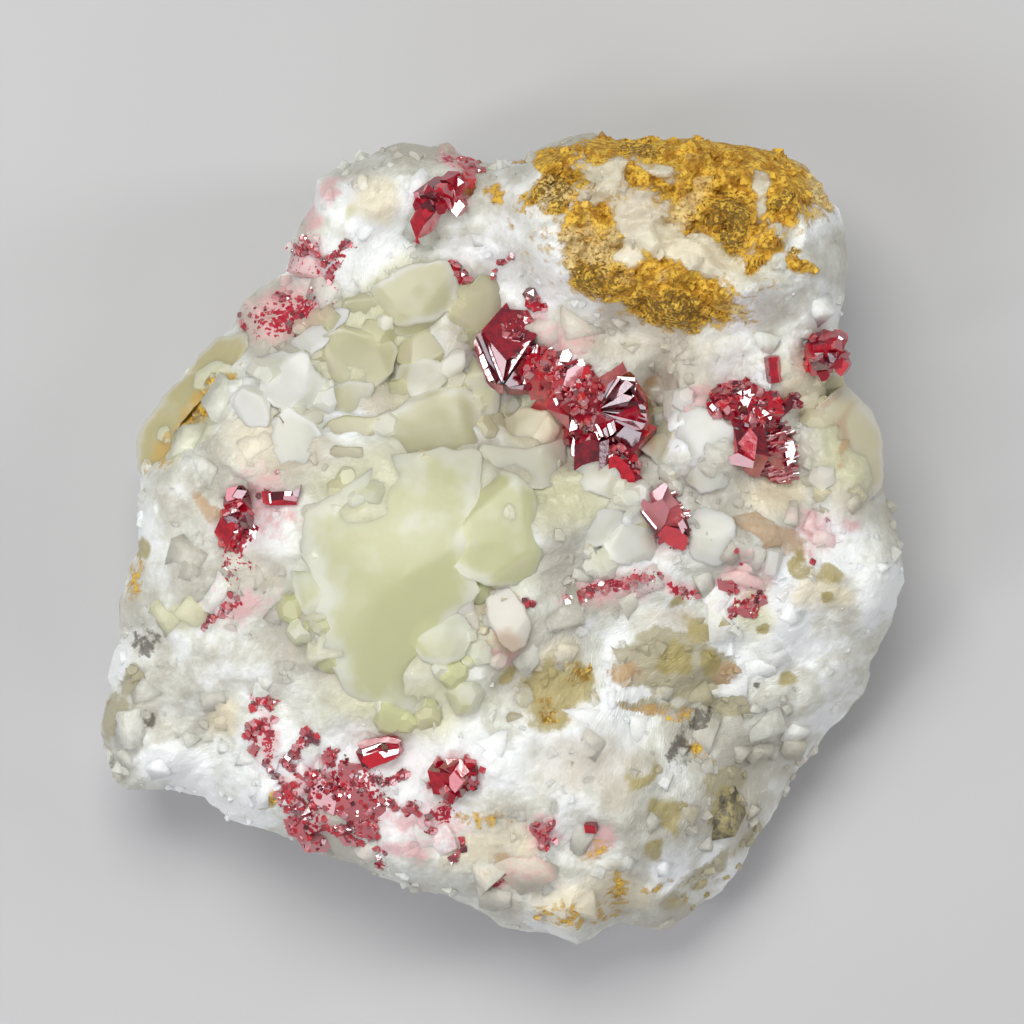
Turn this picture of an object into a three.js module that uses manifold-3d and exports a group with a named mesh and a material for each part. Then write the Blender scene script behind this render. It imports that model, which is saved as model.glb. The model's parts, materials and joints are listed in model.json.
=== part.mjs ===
// Cinnabar on matrix: a hand specimen of white calcite-dolomite rock that lies on its flat broken back.
// Its open face looks up and carries pale calcite crystals in and round a shallow hollow, and deep red
// cinnabar crystals along a few bands. Every crystal sits in a socket of the rock.
// Millimetres, +Z up. The origin is the middle of the flat back.
import * as THREE from "three";
import { ConvexGeometry } from "three/addons/geometries/ConvexGeometry.js";
import { mergeVertices } from "three/addons/utils/BufferGeometryUtils.js";
import Module from "manifold-3d";

const wasm = await Module();
wasm.setup();

// ---------------------------------------------------------------- driving dimensions

const FACE_HEIGHT = 21; // the level of the open face above the back, before its relief
const BASE_SHARE = 0.88; // how far the flat back reaches towards the outline seen from above
const BASE_CURVE = 1.6; // above 1 the flank falls steeply from the rim, then tucks in
const CRYSTAL_GAP = 0.3; // clearance between a crystal and its socket, or its neighbour
const GRID_CELLS = 26; // cells along each side of the square grid laid over the open face
const GRID_UNEVENNESS = 0.7; // how far the grid's points stray in the middle of the face, like broken rock
const FLANK_RINGS = 3; // rings from the rim to the back
const RIM_CROWDING = 1.35; // above 1, the grid crowds towards the rim

// The rock's outline seen from above, anticlockwise from the right. Each radius turns about the origin.
const OUTLINE = [
  [34.4, 4.4], [34.1, 7.7], [33.7, 9.7], [32.6, 11.1], [30.9, 11.5], [29.8, 12.1],
  [29.3, 13.9], [30.6, 16.4], [30.1, 19.2], [30.8, 22.8], [31.0, 24.5], [30.6, 27.5],
  [30.0, 29.3], [28.9, 30.7], [28.4, 31.9], [27.0, 33.3], [25.0, 34.3], [22.8, 34.8],
  [19.4, 35.1], [16.9, 35.6], [13.3, 35.4], [10.2, 35.4], [8.2, 36.1], [7.0, 36.3],
  [5.1, 35.4], [2.3, 33.8], [-0.5, 33.6], [-3.2, 33.8], [-4.6, 34.8], [-8.9, 35.4],
  [-12.6, 33.9], [-16.4, 32.1], [-16.7, 29.8], [-18.5, 26.6], [-19.2, 23.8], [-21.0, 22.9],
  [-23.1, 21.7], [-23.8, 19.5], [-24.9, 18.2], [-27.8, 15.5], [-30.4, 11.9], [-32.1, 8.4],
  [-32.2, 4.6], [-32.3, -0.9], [-33.3, -2.5], [-33.9, -6.8], [-33.7, -8.4], [-35.4, -12.4],
  [-35.0, -13.2], [-36.0, -17.2], [-35.0, -20.2], [-34.9, -21.2], [-33.8, -22.4], [-29.9, -22.4],
  [-26.7, -23.2], [-24.3, -25.1], [-21.2, -25.8], [-17.6, -26.9], [-12.8, -29.1], [-8.5, -30.8],
  [-4.8, -31.8], [-2.4, -32.8], [0.1, -34.3], [2.6, -34.9], [4.1, -34.8], [6.9, -36.3],
  [9.2, -35.0], [10.6, -34.6], [14.9, -35.2], [17.3, -33.4], [20.9, -30.4], [23.0, -27.2],
  [26.6, -21.6], [29.8, -17.2], [32.6, -13.8], [33.4, -11.0], [34.3, -9.0], [35.5, -5.7],
  [36.0, -3.7], [35.7, -0.9],
];

// How far the rim lies below the face round the rock, and over what width the face falls to it.
const RIM_FALL = [
  { degrees: 0, drop: 7, width: 2.5 },
  { degrees: 45, drop: 8, width: 1.8 },
  { degrees: 90, drop: 7, width: 1.5 },
  { degrees: 140, drop: 5, width: 1.6 },
  { degrees: 180, drop: 6, width: 1.8 },
  { degrees: 212, drop: 7, width: 3 },
  { degrees: 255, drop: 6, width: 2 },
  { degrees: 290, drop: 9, width: 4 },
  { degrees: 320, drop: 12, width: 5 },
  { degrees: 345, drop: 9, width: 3.5 },
  { degrees: 360, drop: 7, width: 2.5 },
];

// Large relief of the open face: raised (height above 0) or sunk lumps with soft borders.
const RELIEF = [
  { name: "ochre hump", x: 15.5, y: 28, rx: 14, ry: 8.6, turn: -4, height: 5, soft: 0.22 },
  { name: "vug", x: -8, y: 16, rx: 11.5, ry: 9.5, turn: 20, height: -4.2, soft: 0.45 },
  { name: "vug arm", x: 3.5, y: 9.8, rx: 6, ry: 3.4, turn: 0, height: -2.6, soft: 0.4 },
  { name: "brown cleft", x: 13.2, y: 11.5, rx: 1.6, ry: 5, turn: -8, height: -2.2, soft: 0.5 },
  { name: "yellow mound", x: -6, y: -2, rx: 13, ry: 11, turn: -10, height: 1.6, soft: 0.7 },
  { name: "upper left lobe", x: -8, y: 31, rx: 9, ry: 4, turn: 10, height: 0.8, soft: 0.6 },
  { name: "pink step", x: -20, y: 20.5, rx: 5.5, ry: 4.5, turn: 30, height: -2.4, soft: 0.4 },
  { name: "left slab bed", x: -28.5, y: 12.5, rx: 3.6, ry: 8, turn: -38, height: -3.6, soft: 0.35 },
  { name: "right shoulder", x: 30, y: 7, rx: 6, ry: 8, turn: 10, height: -2.4, soft: 0.4 },
  { name: "lower right slope", x: 26, y: -18, rx: 10, ry: 12, turn: 35, height: -3.5, soft: 0.6 },
  { name: "lower left slope", x: -30, y: -19, rx: 8, ry: 8, turn: 0, height: -2.8, soft: 0.6 },
  { name: "grey ledge", x: 15, y: -32, rx: 7, ry: 4, turn: 35, height: -3, soft: 0.5 },
  { name: "lower rib", x: 4, y: -20, rx: 13, ry: 4, turn: -12, height: 0.9, soft: 0.6 },
];

// Small unevenness of broken rock: a few long waves, each with a height, its turns per millimetre and a start.
const RIPPLES = [
  { height: 0.36, along: 0.62, across: 0.21, start: 0.4 },
  { height: 0.3, along: -0.33, across: 0.71, start: 1.9 },
  { height: 0.22, along: 1.02, across: -0.52, start: 3.1 },
  { height: 0.2, along: 0.48, across: 1.1, start: 5.0 },
];

// ---------------------------------------------------------------- small helpers

const radians = THREE.MathUtils.degToRad;
const smoothstep = THREE.MathUtils.smoothstep;

/** Straight-line interpolation of `value` at `at` in a table sorted by `key`. */
function between(table, key, value, at) {
  const next = Math.max(1, table.findIndex((row) => row[key] >= at));
  const [a, b] = [table[next - 1], table[next]];
  return a[value] + ((b[value] - a[value]) * (at - a[key])) / (b[key] - a[key]);
}

// ---------------------------------------------------------------- the rock

/** The outline as sorted {angle, radius} rows that reach past both ends of the turn. */
const outlineRows = (() => {
  const rows = OUTLINE.map(([x, y]) => ({
    angle: (Math.atan2(y, x) + 2 * Math.PI) % (2 * Math.PI),
    radius: Math.hypot(x, y),
  })).sort((a, b) => a.angle - b.angle);
  const [first, last] = [rows[0], rows.at(-1)];
  rows.unshift({ angle: last.angle - 2 * Math.PI, radius: last.radius });
  rows.push({ angle: first.angle + 2 * Math.PI, radius: first.radius });
  return rows;
})();

const outlineRadius = (angle) => between(outlineRows, "angle", "radius", angle);

/** One lump of the relief at (x, y): its full height inside, fading to nothing across its soft border. */
function lumpHeight(lump, x, y) {
  const turn = radians(lump.turn);
  const u = (x - lump.x) * Math.cos(turn) + (y - lump.y) * Math.sin(turn);
  const v = (y - lump.y) * Math.cos(turn) - (x - lump.x) * Math.sin(turn);
  const distance = Math.hypot(u / lump.rx, v / lump.ry);
  return lump.height * (1 - smoothstep(distance, 1 - lump.soft, 1 + lump.soft));
}

/** Height of the open face above the back at (x, y), inside the rim's fall. */
function faceHeight(x, y) {
  const lumps = RELIEF.reduce((sum, lump) => sum + lumpHeight(lump, x, y), 0);
  const ripples = RIPPLES.reduce(
    (sum, w) => sum + w.height * Math.sin(w.along * x + w.across * y + w.start),
    0,
  );
  return FACE_HEIGHT + lumps + ripples;
}

/** Height of the rock's upper surface: the face, falling exponentially to the rim near the outline. */
function surfaceHeight(x, y) {
  const angle = (Math.atan2(y, x) + 2 * Math.PI) % (2 * Math.PI);
  const degrees = THREE.MathUtils.radToDeg(angle);
  const inside = Math.max(0, outlineRadius(angle) - Math.hypot(x, y));
  const drop = between(RIM_FALL, "degrees", "drop", degrees);
  const width = between(RIM_FALL, "degrees", "width", degrees);
  return faceHeight(x, y) - drop * Math.exp(-inside / width);
}

/** The point of the outlined disc for (u, v) of a square from -1 to 1: squares round the middle become outlines. */
function discPoint(u, v) {
  const reach = Math.max(Math.abs(u), Math.abs(v));
  if (reach === 0) return [0, 0];
  const wide = Math.abs(u) > Math.abs(v);
  const eighth = (Math.PI / 4) * (wide ? v / u : u / v);
  const angle = wide ? eighth + (u < 0 ? Math.PI : 0) : Math.PI / 2 - eighth + (v < 0 ? Math.PI : 0);
  const share = 1 - (1 - reach) ** RIM_CROWDING;
  const radius = share * outlineRadius((angle + 2 * Math.PI) % (2 * Math.PI));
  const uneven = GRID_UNEVENNESS * (1 - share);
  return [
    radius * Math.cos(angle) + uneven * Math.sin(7 * u + 11 * v),
    radius * Math.sin(angle) + uneven * Math.sin(9 * u - 8 * v + 2),
  ];
}

/** The rock as one closed surface: a square grid laid over the open face, rings down the flank, and the flat back. */
function rockGeometry() {
  const positions = [];
  const faces = [];
  const addPoint = (x, y, z) => positions.push(x, y, z) / 3 - 1;
  const side = Array.from({ length: GRID_CELLS + 1 }, (_, i) => (2 * i) / GRID_CELLS - 1);
  const grid = side.map((v) =>
    side.map((u) => {
      const [x, y] = discPoint(u, v);
      return addPoint(x, y, surfaceHeight(x, y));
    }),
  );
  for (let j = 0; j < GRID_CELLS; j++) {
    for (let i = 0; i < GRID_CELLS; i++) {
      const [a, b, c, d] = [grid[j][i], grid[j][i + 1], grid[j + 1][i + 1], grid[j + 1][i]];
      if ((i + j) % 2) faces.push(a, b, c, a, c, d);
      else faces.push(a, b, d, b, c, d);
    }
  }

  const steps = side.slice(0, -1).map((_, i) => i);
  const rim = [
    ...steps.map((i) => grid[0][i]),
    ...steps.map((i) => grid[i][GRID_CELLS]),
    ...steps.map((i) => grid[GRID_CELLS][GRID_CELLS - i]),
    ...steps.map((i) => grid[GRID_CELLS - i][0]),
  ];
  const rings = [rim];
  for (let k = 1; k <= FLANK_RINGS; k++) {
    const t = k / FLANK_RINGS;
    const tuck = 1 - (1 - BASE_SHARE) * t ** BASE_CURVE;
    rings.push(
      rim.map((p) => {
        const [x, y, z] = positions.slice(3 * p, 3 * p + 3);
        return addPoint(x * tuck, y * tuck, z * (1 - t));
      }),
    );
  }
  const backMiddle = addPoint(0, 0, 0);
  for (let i = 0; i < rim.length; i++) {
    const next = (i + 1) % rim.length;
    for (let k = 0; k < FLANK_RINGS; k++) {
      const [a, b, c, d] = [rings[k][i], rings[k + 1][i], rings[k + 1][next], rings[k][next]];
      faces.push(a, b, c, a, c, d);
    }
    faces.push(backMiddle, rings[FLANK_RINGS][next], rings[FLANK_RINGS][i]);
  }
  const geometry = new THREE.BufferGeometry();
  geometry.setAttribute("position", new THREE.Float32BufferAttribute(positions, 3));
  return geometry.setIndex(faces);
}

// ---------------------------------------------------------------- crystal forms

/** A face normal that leans `lean` degrees from the crystal's long axis, towards `heading` degrees. */
function faceNormal(lean, heading) {
  const [a, b] = [radians(lean), radians(heading)];
  return [Math.sin(a) * Math.cos(b), Math.sin(a) * Math.sin(b), Math.cos(a)];
}

const threefold = (start) => [start, start + 120, start + 240];
const sixfold = (start) => [...threefold(start), ...threefold(start + 60)];

/** A crystal's form is its list of faces: a normal, and its distance from the middle as a share of the half size. */
const FORMS = {
  // Six rhombic faces, three round each end of the long axis.
  rhomb: [
    ...threefold(90).map((h) => ({ normal: faceNormal(52, h), at: 1 })),
    ...threefold(30).map((h) => ({ normal: faceNormal(128, h), at: 1 })),
  ],
  // A rhomb whose ends and edges are cut back, as calcite in a druse.
  block: [
    ...threefold(90).map((h) => ({ normal: faceNormal(50, h), at: 1 })),
    ...threefold(30).map((h) => ({ normal: faceNormal(130, h), at: 1 })),
    { normal: [0, 0, 1], at: 1.18 },
    { normal: [0, 0, -1], at: 1.18 },
    ...sixfold(0).map((h) => ({ normal: faceNormal(90, h), at: 1.14 })),
  ],
  // A small rhomb with cut-back ends.
  grain: [
    ...threefold(90).map((h) => ({ normal: faceNormal(52, h), at: 1 })),
    ...threefold(30).map((h) => ({ normal: faceNormal(128, h), at: 1 })),
    { normal: [0, 0, 1], at: 1.12 },
    { normal: [0, 0, -1], at: 1.12 },
  ],
  // A six-sided prism with flat ends.
  prism: [
    ...sixfold(0).map((h) => ({ normal: faceNormal(90, h), at: 1 })),
    { normal: [0, 0, 1], at: 1 },
    { normal: [0, 0, -1], at: 1 },
  ],
  // The same prism, whose ends are cut back by three faces each.
  blunt: [
    ...sixfold(0).map((h) => ({ normal: faceNormal(90, h), at: 1 })),
    ...threefold(0).map((h) => ({ normal: faceNormal(42, h), at: 1.12 })),
    ...threefold(60).map((h) => ({ normal: faceNormal(138, h), at: 1.12 })),
    { normal: [0, 0, 1], at: 1 },
    { normal: [0, 0, -1], at: 1 },
  ],
};

/** The world planes of one crystal. Its middle stands `lift` above the rock's surface, its long axis tilts
 * `tilt` degrees from upright towards `heading`, and it is turned by `spin` about that axis. */
function crystalPlanes({ form, at: [x, y], lift, half, heading = 0, tilt = 0, spin = 0 }) {
  const turned = new THREE.Matrix4()
    .makeRotationZ(radians(heading))
    .multiply(new THREE.Matrix4().makeRotationY(radians(tilt)))
    .multiply(new THREE.Matrix4().makeRotationZ(radians(spin)));
  const middle = new THREE.Vector3(x, y, surfaceHeight(x, y) + lift);
  return FORMS[form].map(({ normal, at }) => {
    const stretched = new THREE.Vector3(normal[0] / half[0], normal[1] / half[1], normal[2] / half[2]);
    const length = stretched.length();
    const world = stretched.divideScalar(length).transformDirection(turned);
    return { normal: world, distance: at / length + world.dot(middle) };
  });
}

/** The corner points of the space inside a set of planes that are all moved out by `grow`. */
function cornersInside(planes, grow) {
  const moved = planes.map((p) => new THREE.Plane(p.normal, -(p.distance + grow)));
  const corners = [];
  const cross = new THREE.Vector3();
  for (let i = 0; i < moved.length; i++) {
    for (let j = i + 1; j < moved.length; j++) {
      for (let k = j + 1; k < moved.length; k++) {
        const [a, b, c] = [moved[i], moved[j], moved[k]];
        const scale = a.normal.dot(cross.crossVectors(b.normal, c.normal));
        if (Math.abs(scale) < 1e-6) continue;
        const point = new THREE.Vector3()
          .addScaledVector(cross.crossVectors(b.normal, c.normal), -a.constant)
          .addScaledVector(cross.crossVectors(c.normal, a.normal), -b.constant)
          .addScaledVector(cross.crossVectors(a.normal, b.normal), -c.constant)
          .divideScalar(scale);
        if (moved.every((plane) => plane.distanceToPoint(point) < 1e-5)) corners.push(point);
      }
    }
  }
  return corners;
}

// ---------------------------------------------------------------- solids

/** A closed three.js geometry as a solid that can be joined and cut. */
function solidOf(geometry) {
  const bare = geometry.clone();
  bare.deleteAttribute("normal");
  bare.deleteAttribute("uv");
  const merged = mergeVertices(bare, 1e-4);
  return new wasm.Manifold(
    new wasm.Mesh({
      numProp: 3,
      vertProperties: merged.attributes.position.array,
      triVerts: new Uint32Array(merged.index.array),
    }),
  );
}

/** A solid's triangles as a three.js geometry. */
function geometryOf(solid) {
  const { vertProperties, triVerts } = solid.getMesh();
  const geometry = new THREE.BufferGeometry();
  geometry.setAttribute("position", new THREE.BufferAttribute(vertProperties, 3));
  geometry.setIndex(new THREE.BufferAttribute(triVerts, 1));
  geometry.computeVertexNormals();
  return geometry;
}

const crystalSolid = (crystal, grow) =>
  solidOf(new ConvexGeometry(cornersInside(crystalPlanes(crystal), grow)));

const joined = (solids) => solids.reduce((whole, solid) => whole.add(solid));

// ---------------------------------------------------------------- the crystals

/** Makes the short form of a crystal: where, how high over the rock, half sizes, then three angles. */
const maker = (form) => (at, lift, half, heading, tilt, spin) => ({ form, at, lift, half, heading, tilt, spin });
const [rhomb, block, grain, prism, blunt] = ["rhomb", "block", "grain", "prism", "blunt"].map(maker);

/** Every piece with its crystals, those grown together in one piece. Each is cut back from the pieces before it. */
const CINNABAR = {
  cinnabar_main_group: [
    rhomb([0.6, 16.7], 1.3, [2.35, 2.9, 2.4], 0, 6, 2),
    grain([4.5, 14.9], 0.5, [2.1, 1.7, 1.5], 20, 20, 10),
    grain([5.8, 11.9], 0.4, [1.9, 1.7, 1.4], 310, 25, 30),
    grain([8.0, 12.7], 0.9, [2.0, 2.0, 1.6], 60, 15, 0),
    rhomb([10.3, 13.3], 1.2, [1.4, 1.5, 1.6], 40, 30, 15),
    rhomb([10.7, 11.3], 1.2, [2.0, 1.8, 1.7], 0, 25, 50),
    rhomb([9.2, 10.0], 1.3, [1.6, 1.5, 1.6], 280, 20, 20),
    grain([7.3, 10.7], 0.8, [1.7, 1.8, 1.3], 200, 25, 0),
    grain([11.6, 8.9], 0.9, [1.6, 1.4, 1.3], 320, 20, 40),
    blunt([7.9, 7.3], 0.3, [1.55, 1.3, 2.4], 88, 82, 0),
    prism([10.3, 6.5], 0.2, [0.95, 0.9, 1.6], 300, 80, 15),
  ],
  cinnabar_right_group: [
    grain([19.9, 12.0], 0.4, [1.5, 1.4, 1.2], 30, 20, 0),
    grain([21.4, 12.2], 0.5, [1.7, 1.5, 1.3], 100, 18, 20),
    grain([23.0, 11.1], 0.5, [1.4, 1.3, 1.2], 200, 22, 5),
    rhomb([23.2, 7.8], 0.9, [2.1, 2.0, 2.0], 10, 12, 24),
    rhomb([21.4, 8.1], 0.5, [1.6, 1.9, 1.6], 200, 20, 0),
    prism([24.5, 11.4], 0.9, [0.42, 0.42, 2.1], 41, 78, 0),
  ],
  cinnabar_tablet: [blunt([14.4, 2.2], 0.6, [1.0, 1.5, 3.2], 303, 84, 0)],
  cinnabar_edge_cluster: [
    grain([28.6, 16.8], 2.6, [1.7, 1.7, 1.6], 30, 35, 0),
    rhomb([27.9, 16.2], 1.6, [1.4, 1.4, 1.5], 190, 20, 30),
  ],
  cinnabar_rod_upper: [prism([23.9, 15.0], 0.2, [0.65, 0.6, 1.15], 98, 80, 0)],
  cinnabar_top_blade: [
    grain([-4.9, 30.5], 0.4, [1.9, 1.0, 0.9], 20, 10, 0),
    grain([-6.4, 28.6], 0.4, [0.75, 1.5, 0.8], 335, 10, 0),
    prism([-6.9, 27.2], 0.2, [0.4, 0.35, 1.2], 70, 82, 0),
  ],
  cinnabar_drop: [grain([-4.2, 23.1], 0.5, [1.0, 1.0, 0.9], 60, 15, 20)],
  cinnabar_top_bead: [grain([-2.7, 32.6], 0.5, [0.9, 0.55, 0.7], 345, 12, 0)],
  cinnabar_column: [
    rhomb([-23.1, 3.5], 0.6, [0.9, 0.85, 0.9], 20, 15, 30),
    grain([-23.4, 1.3], 0.5, [0.95, 1.5, 1.0], 340, 12, 0),
    grain([-23.8, -0.4], 0.2, [0.6, 0.65, 0.6], 0, 10, 20),
  ],
  cinnabar_column_side: [prism([-21.4, 0.3], 0.3, [0.55, 0.55, 1.05], 300, 80, 0)],
  cinnabar_rod_left: [prism([-19.0, 3.9], 0.4, [0.72, 0.7, 1.75], 3, 86, 10)],
  cinnabar_step_crystal: [grain([-16.7, 19.6], 0.5, [0.95, 1.15, 0.9], 30, 15, 0)],
  cinnabar_step_strip: [prism([-14.3, 24.4], 0.3, [0.6, 0.5, 1.9], 55, 84, 0)],
  cinnabar_step_bead: [grain([-19.5, 21.3], 0.4, [0.65, 0.55, 0.5], 0, 15, 0)],
  cinnabar_lower_block: [blunt([-10.6, -18.5], 0.5, [1.25, 1.1, 2.0], 24, 84, 12)],
  cinnabar_grain_patch: [
    grain([-14.4, -21.9], 0.2, [2.0, 1.5, 0.9], 350, 8, 0),
    grain([-12.2, -22.6], 0.2, [1.8, 1.6, 0.9], 20, 8, 40),
    grain([-12.6, -20.6], 0.2, [1.2, 1.5, 0.8], 10, 8, 0),
  ],
  cinnabar_patch_left: [grain([-17.2, -20.6], 0.3, [1.1, 1.1, 0.7], 40, 10, 0)],
  cinnabar_patch_top: [grain([-15.1, -18.7], 0.3, [0.85, 0.75, 0.7], 0, 12, 10)],
  cinnabar_star: [
    rhomb([-4.3, -20.5], 0.6, [1.5, 1.5, 1.2], 10, 12, 10),
    rhomb([-2.9, -20.7], 0.5, [1.0, 0.9, 0.9], 340, 25, 40),
  ],
  cinnabar_vein_lower: [
    grain([-17.9, -24.6], 0.3, [1.0, 1.4, 0.8], 20, 10, 0),
    grain([-16.5, -26.2], 0.4, [1.3, 1.1, 0.8], 320, 10, 10),
  ],
  cinnabar_vein_upper: [prism([-19.3, -22.6], 0.2, [0.45, 0.45, 1.2], 305, 80, 0)],
  cinnabar_seed_round: [grain([-11.6, -25.0], 0.3, [1.05, 0.95, 0.8], 10, 12, 10)],
  cinnabar_seed_tail: [grain([-13.3, -26.1], 0.3, [0.65, 0.6, 0.6], 0, 12, 30)],
  cinnabar_seed_dark: [rhomb([-7.9, -23.5], 0.3, [0.6, 0.6, 0.6], 30, 15, 10)],
  cinnabar_seed_pale: [grain([-4.9, -22.9], 0.2, [0.65, 0.45, 0.6], 10, 10, 0)],
  cinnabar_strip_lower: [prism([-7.4, -25.5], 0.2, [0.5, 0.45, 1.5], 12, 84, 0)],
  cinnabar_lower_right: [grain([3.5, -25.7], 0.4, [0.7, 0.95, 0.8], 10, 12, 0)],
  cinnabar_dot: [rhomb([8.0, -25.1], 0.3, [0.5, 0.45, 0.5], 20, 15, 0)],
  cinnabar_crescent: [
    grain([21.6, -5.9], 0.2, [1.3, 0.7, 0.8], 22, 12, 0),
    grain([22.8, -5.1], 0.2, [0.7, 0.7, 0.7], 50, 12, 0),
  ],
  cinnabar_crescent_seed: [grain([20.1, -3.7], 0.3, [0.75, 0.65, 0.7], 20, 14, 0)],
  cinnabar_left_vein: [grain([-20.6, -14.4], 0.2, [0.8, 0.75, 0.6], 0, 12, 0)],
  cinnabar_left_vein_tail: [prism([-21.5, -17.9], 0.2, [0.5, 0.5, 1.1], 62, 82, 0)],
  cinnabar_right_seed: [grain([28.1, 2.6], 0.4, [0.5, 0.8, 0.6], 20, 12, 0)],
};

const CALCITE = {
  calcite_vug_group: [
    block([-7.9, 21.4], 0.5, [3.5, 3.4, 2.9], 200, 18, 10),
    block([-13.1, 16.1], 0.6, [3.3, 2.7, 2.8], 150, 22, 35),
    block([-6.9, 15.6], 0.7, [2.9, 2.9, 2.6], 80, 12, 50),
    grain([-12.9, 12.3], 0.5, [2.1, 2.0, 1.9], 240, 20, 5),
    grain([-9.7, 12.3], 0.6, [2.0, 2.0, 1.9], 300, 15, 25),
    grain([-2.2, 20.6], 0.0, [2.3, 2.4, 2.0], 20, 18, 30),
    grain([-2.5, 13.0], 0.6, [1.6, 2.5, 2.0], 10, 15, 0),
    grain([-15.9, 18.0], 0.3, [1.5, 1.3, 1.5], 100, 20, 0),
    block([-6.2, 10.0], 1.0, [4.4, 3.0, 2.8], 330, 10, 8),
  ],
  calcite_left_block: [
    grain([-18.5, 14.0], 0.4, [2.9, 2.3, 2.2], 190, 14, 20),
    grain([-15.9, 9.4], 0.2, [2.3, 2.0, 1.7], 60, 12, 0),
  ],
  calcite_yellow_group: [
    block([-9.0, 0.6], 0.2, [6.2, 5.6, 3.4], 350, 7, 4),
    block([-8.6, -6.2], -0.2, [5.0, 5.2, 3.0], 300, 9, 28),
    block([-0.6, 0.8], 0.1, [3.2, 4.4, 2.8], 15, 10, 6),
    grain([2.7, 5.0], 0.3, [4.6, 2.1, 1.9], 355, 10, 0),
  ],
  calcite_ring_block: [grain([2.8, 10.0], 0.2, [3.2, 2.0, 1.7], 350, 10, 5)],
  calcite_jagged_group: [
    block([8.6, 1.9], 0.1, [3.6, 3.3, 2.2], 340, 10, 12),
    grain([11.6, 0.3], 0.0, [2.1, 2.6, 1.9], 315, 14, 0),
  ],
  calcite_right_block: [block([18.3, 8.6], 0.5, [2.2, 2.4, 2.2], 20, 12, 8)],
  calcite_white_block: [grain([18.2, 0.2], 0.2, [1.9, 2.2, 1.7], 10, 12, 0)],
  calcite_left_slab: [
    block([-26.6, 12.6], 0.5, [2.3, 4.7, 1.7], 322, 16, 0),
    grain([-29.7, 8.8], 0.3, [1.2, 2.5, 1.4], 340, 12, 0),
  ],
  calcite_right_mass: [
    block([31.0, 7.0], 0.3, [2.6, 3.4, 2.2], 10, 10, 10),
    grain([29.0, 11.2], 0.5, [1.6, 2.0, 1.6], 20, 16, 0),
  ],
  calcite_blade_cream: [blunt([0.6, -7.6], 0.3, [0.9, 0.7, 2.1], 298, 82, 0)],
  calcite_blade_pair: [prism([-1.9, -6.3], 0.7, [0.6, 0.6, 1.7], 292, 82, 10)],
  calcite_tooth: [prism([7.1, -2.7], 0.4, [0.8, 0.7, 1.8], 98, 78, 0)],
  calcite_tooth_right: [prism([23.8, -1.8], 0.4, [0.75, 0.7, 1.1], 80, 70, 0)],
};

// ---------------------------------------------------------------- materials

const rockMaterial = new THREE.MeshStandardMaterial({ color: 0xdfe3dc, roughness: 0.6, metalness: 0 });
const calciteMaterial = new THREE.MeshStandardMaterial({ color: 0xd9dbbd, roughness: 0.28, metalness: 0 });
const cinnabarMaterial = new THREE.MeshStandardMaterial({ color: 0xa30d22, roughness: 0.18, metalness: 0 });

// ---------------------------------------------------------------- assembly

const specimen = new THREE.Group();

function addMesh(name, solid, material) {
  const mesh = new THREE.Mesh(geometryOf(solid), material);
  mesh.name = name;
  specimen.add(mesh);
}

const sockets = [];

/** Adds each piece of a table, cut back from the pieces that were added before it, and notes its socket. */
function addCrystals(table, material) {
  for (const [name, crystals] of Object.entries(table)) {
    const whole = joined(crystals.map((crystal) => crystalSolid(crystal, 0)));
    addMesh(name, sockets.reduce((solid, socket) => solid.subtract(socket), whole), material);
    sockets.push(joined(crystals.map((crystal) => crystalSolid(crystal, CRYSTAL_GAP))));
  }
}

addCrystals(CINNABAR, cinnabarMaterial);
addCrystals(CALCITE, calciteMaterial);
addMesh("matrix", solidOf(rockGeometry()).subtract(joined(sockets)), rockMaterial);

export default specimen;
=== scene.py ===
# %% [markdown]
# # Cinnabar on matrix
# A hand specimen: a white carbonate rock the size of a palm, with pale calcite crystals in a shallow
# hollow, deep red cinnabar crystals along a few bands and a rusty ochre hump at the top. It lies on its
# flat back and the camera looks down on its open face.
#
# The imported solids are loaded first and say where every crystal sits. Each piece made below takes the place
# of one of them, in the same millimetres.

import itertools
import json
import math

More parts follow.
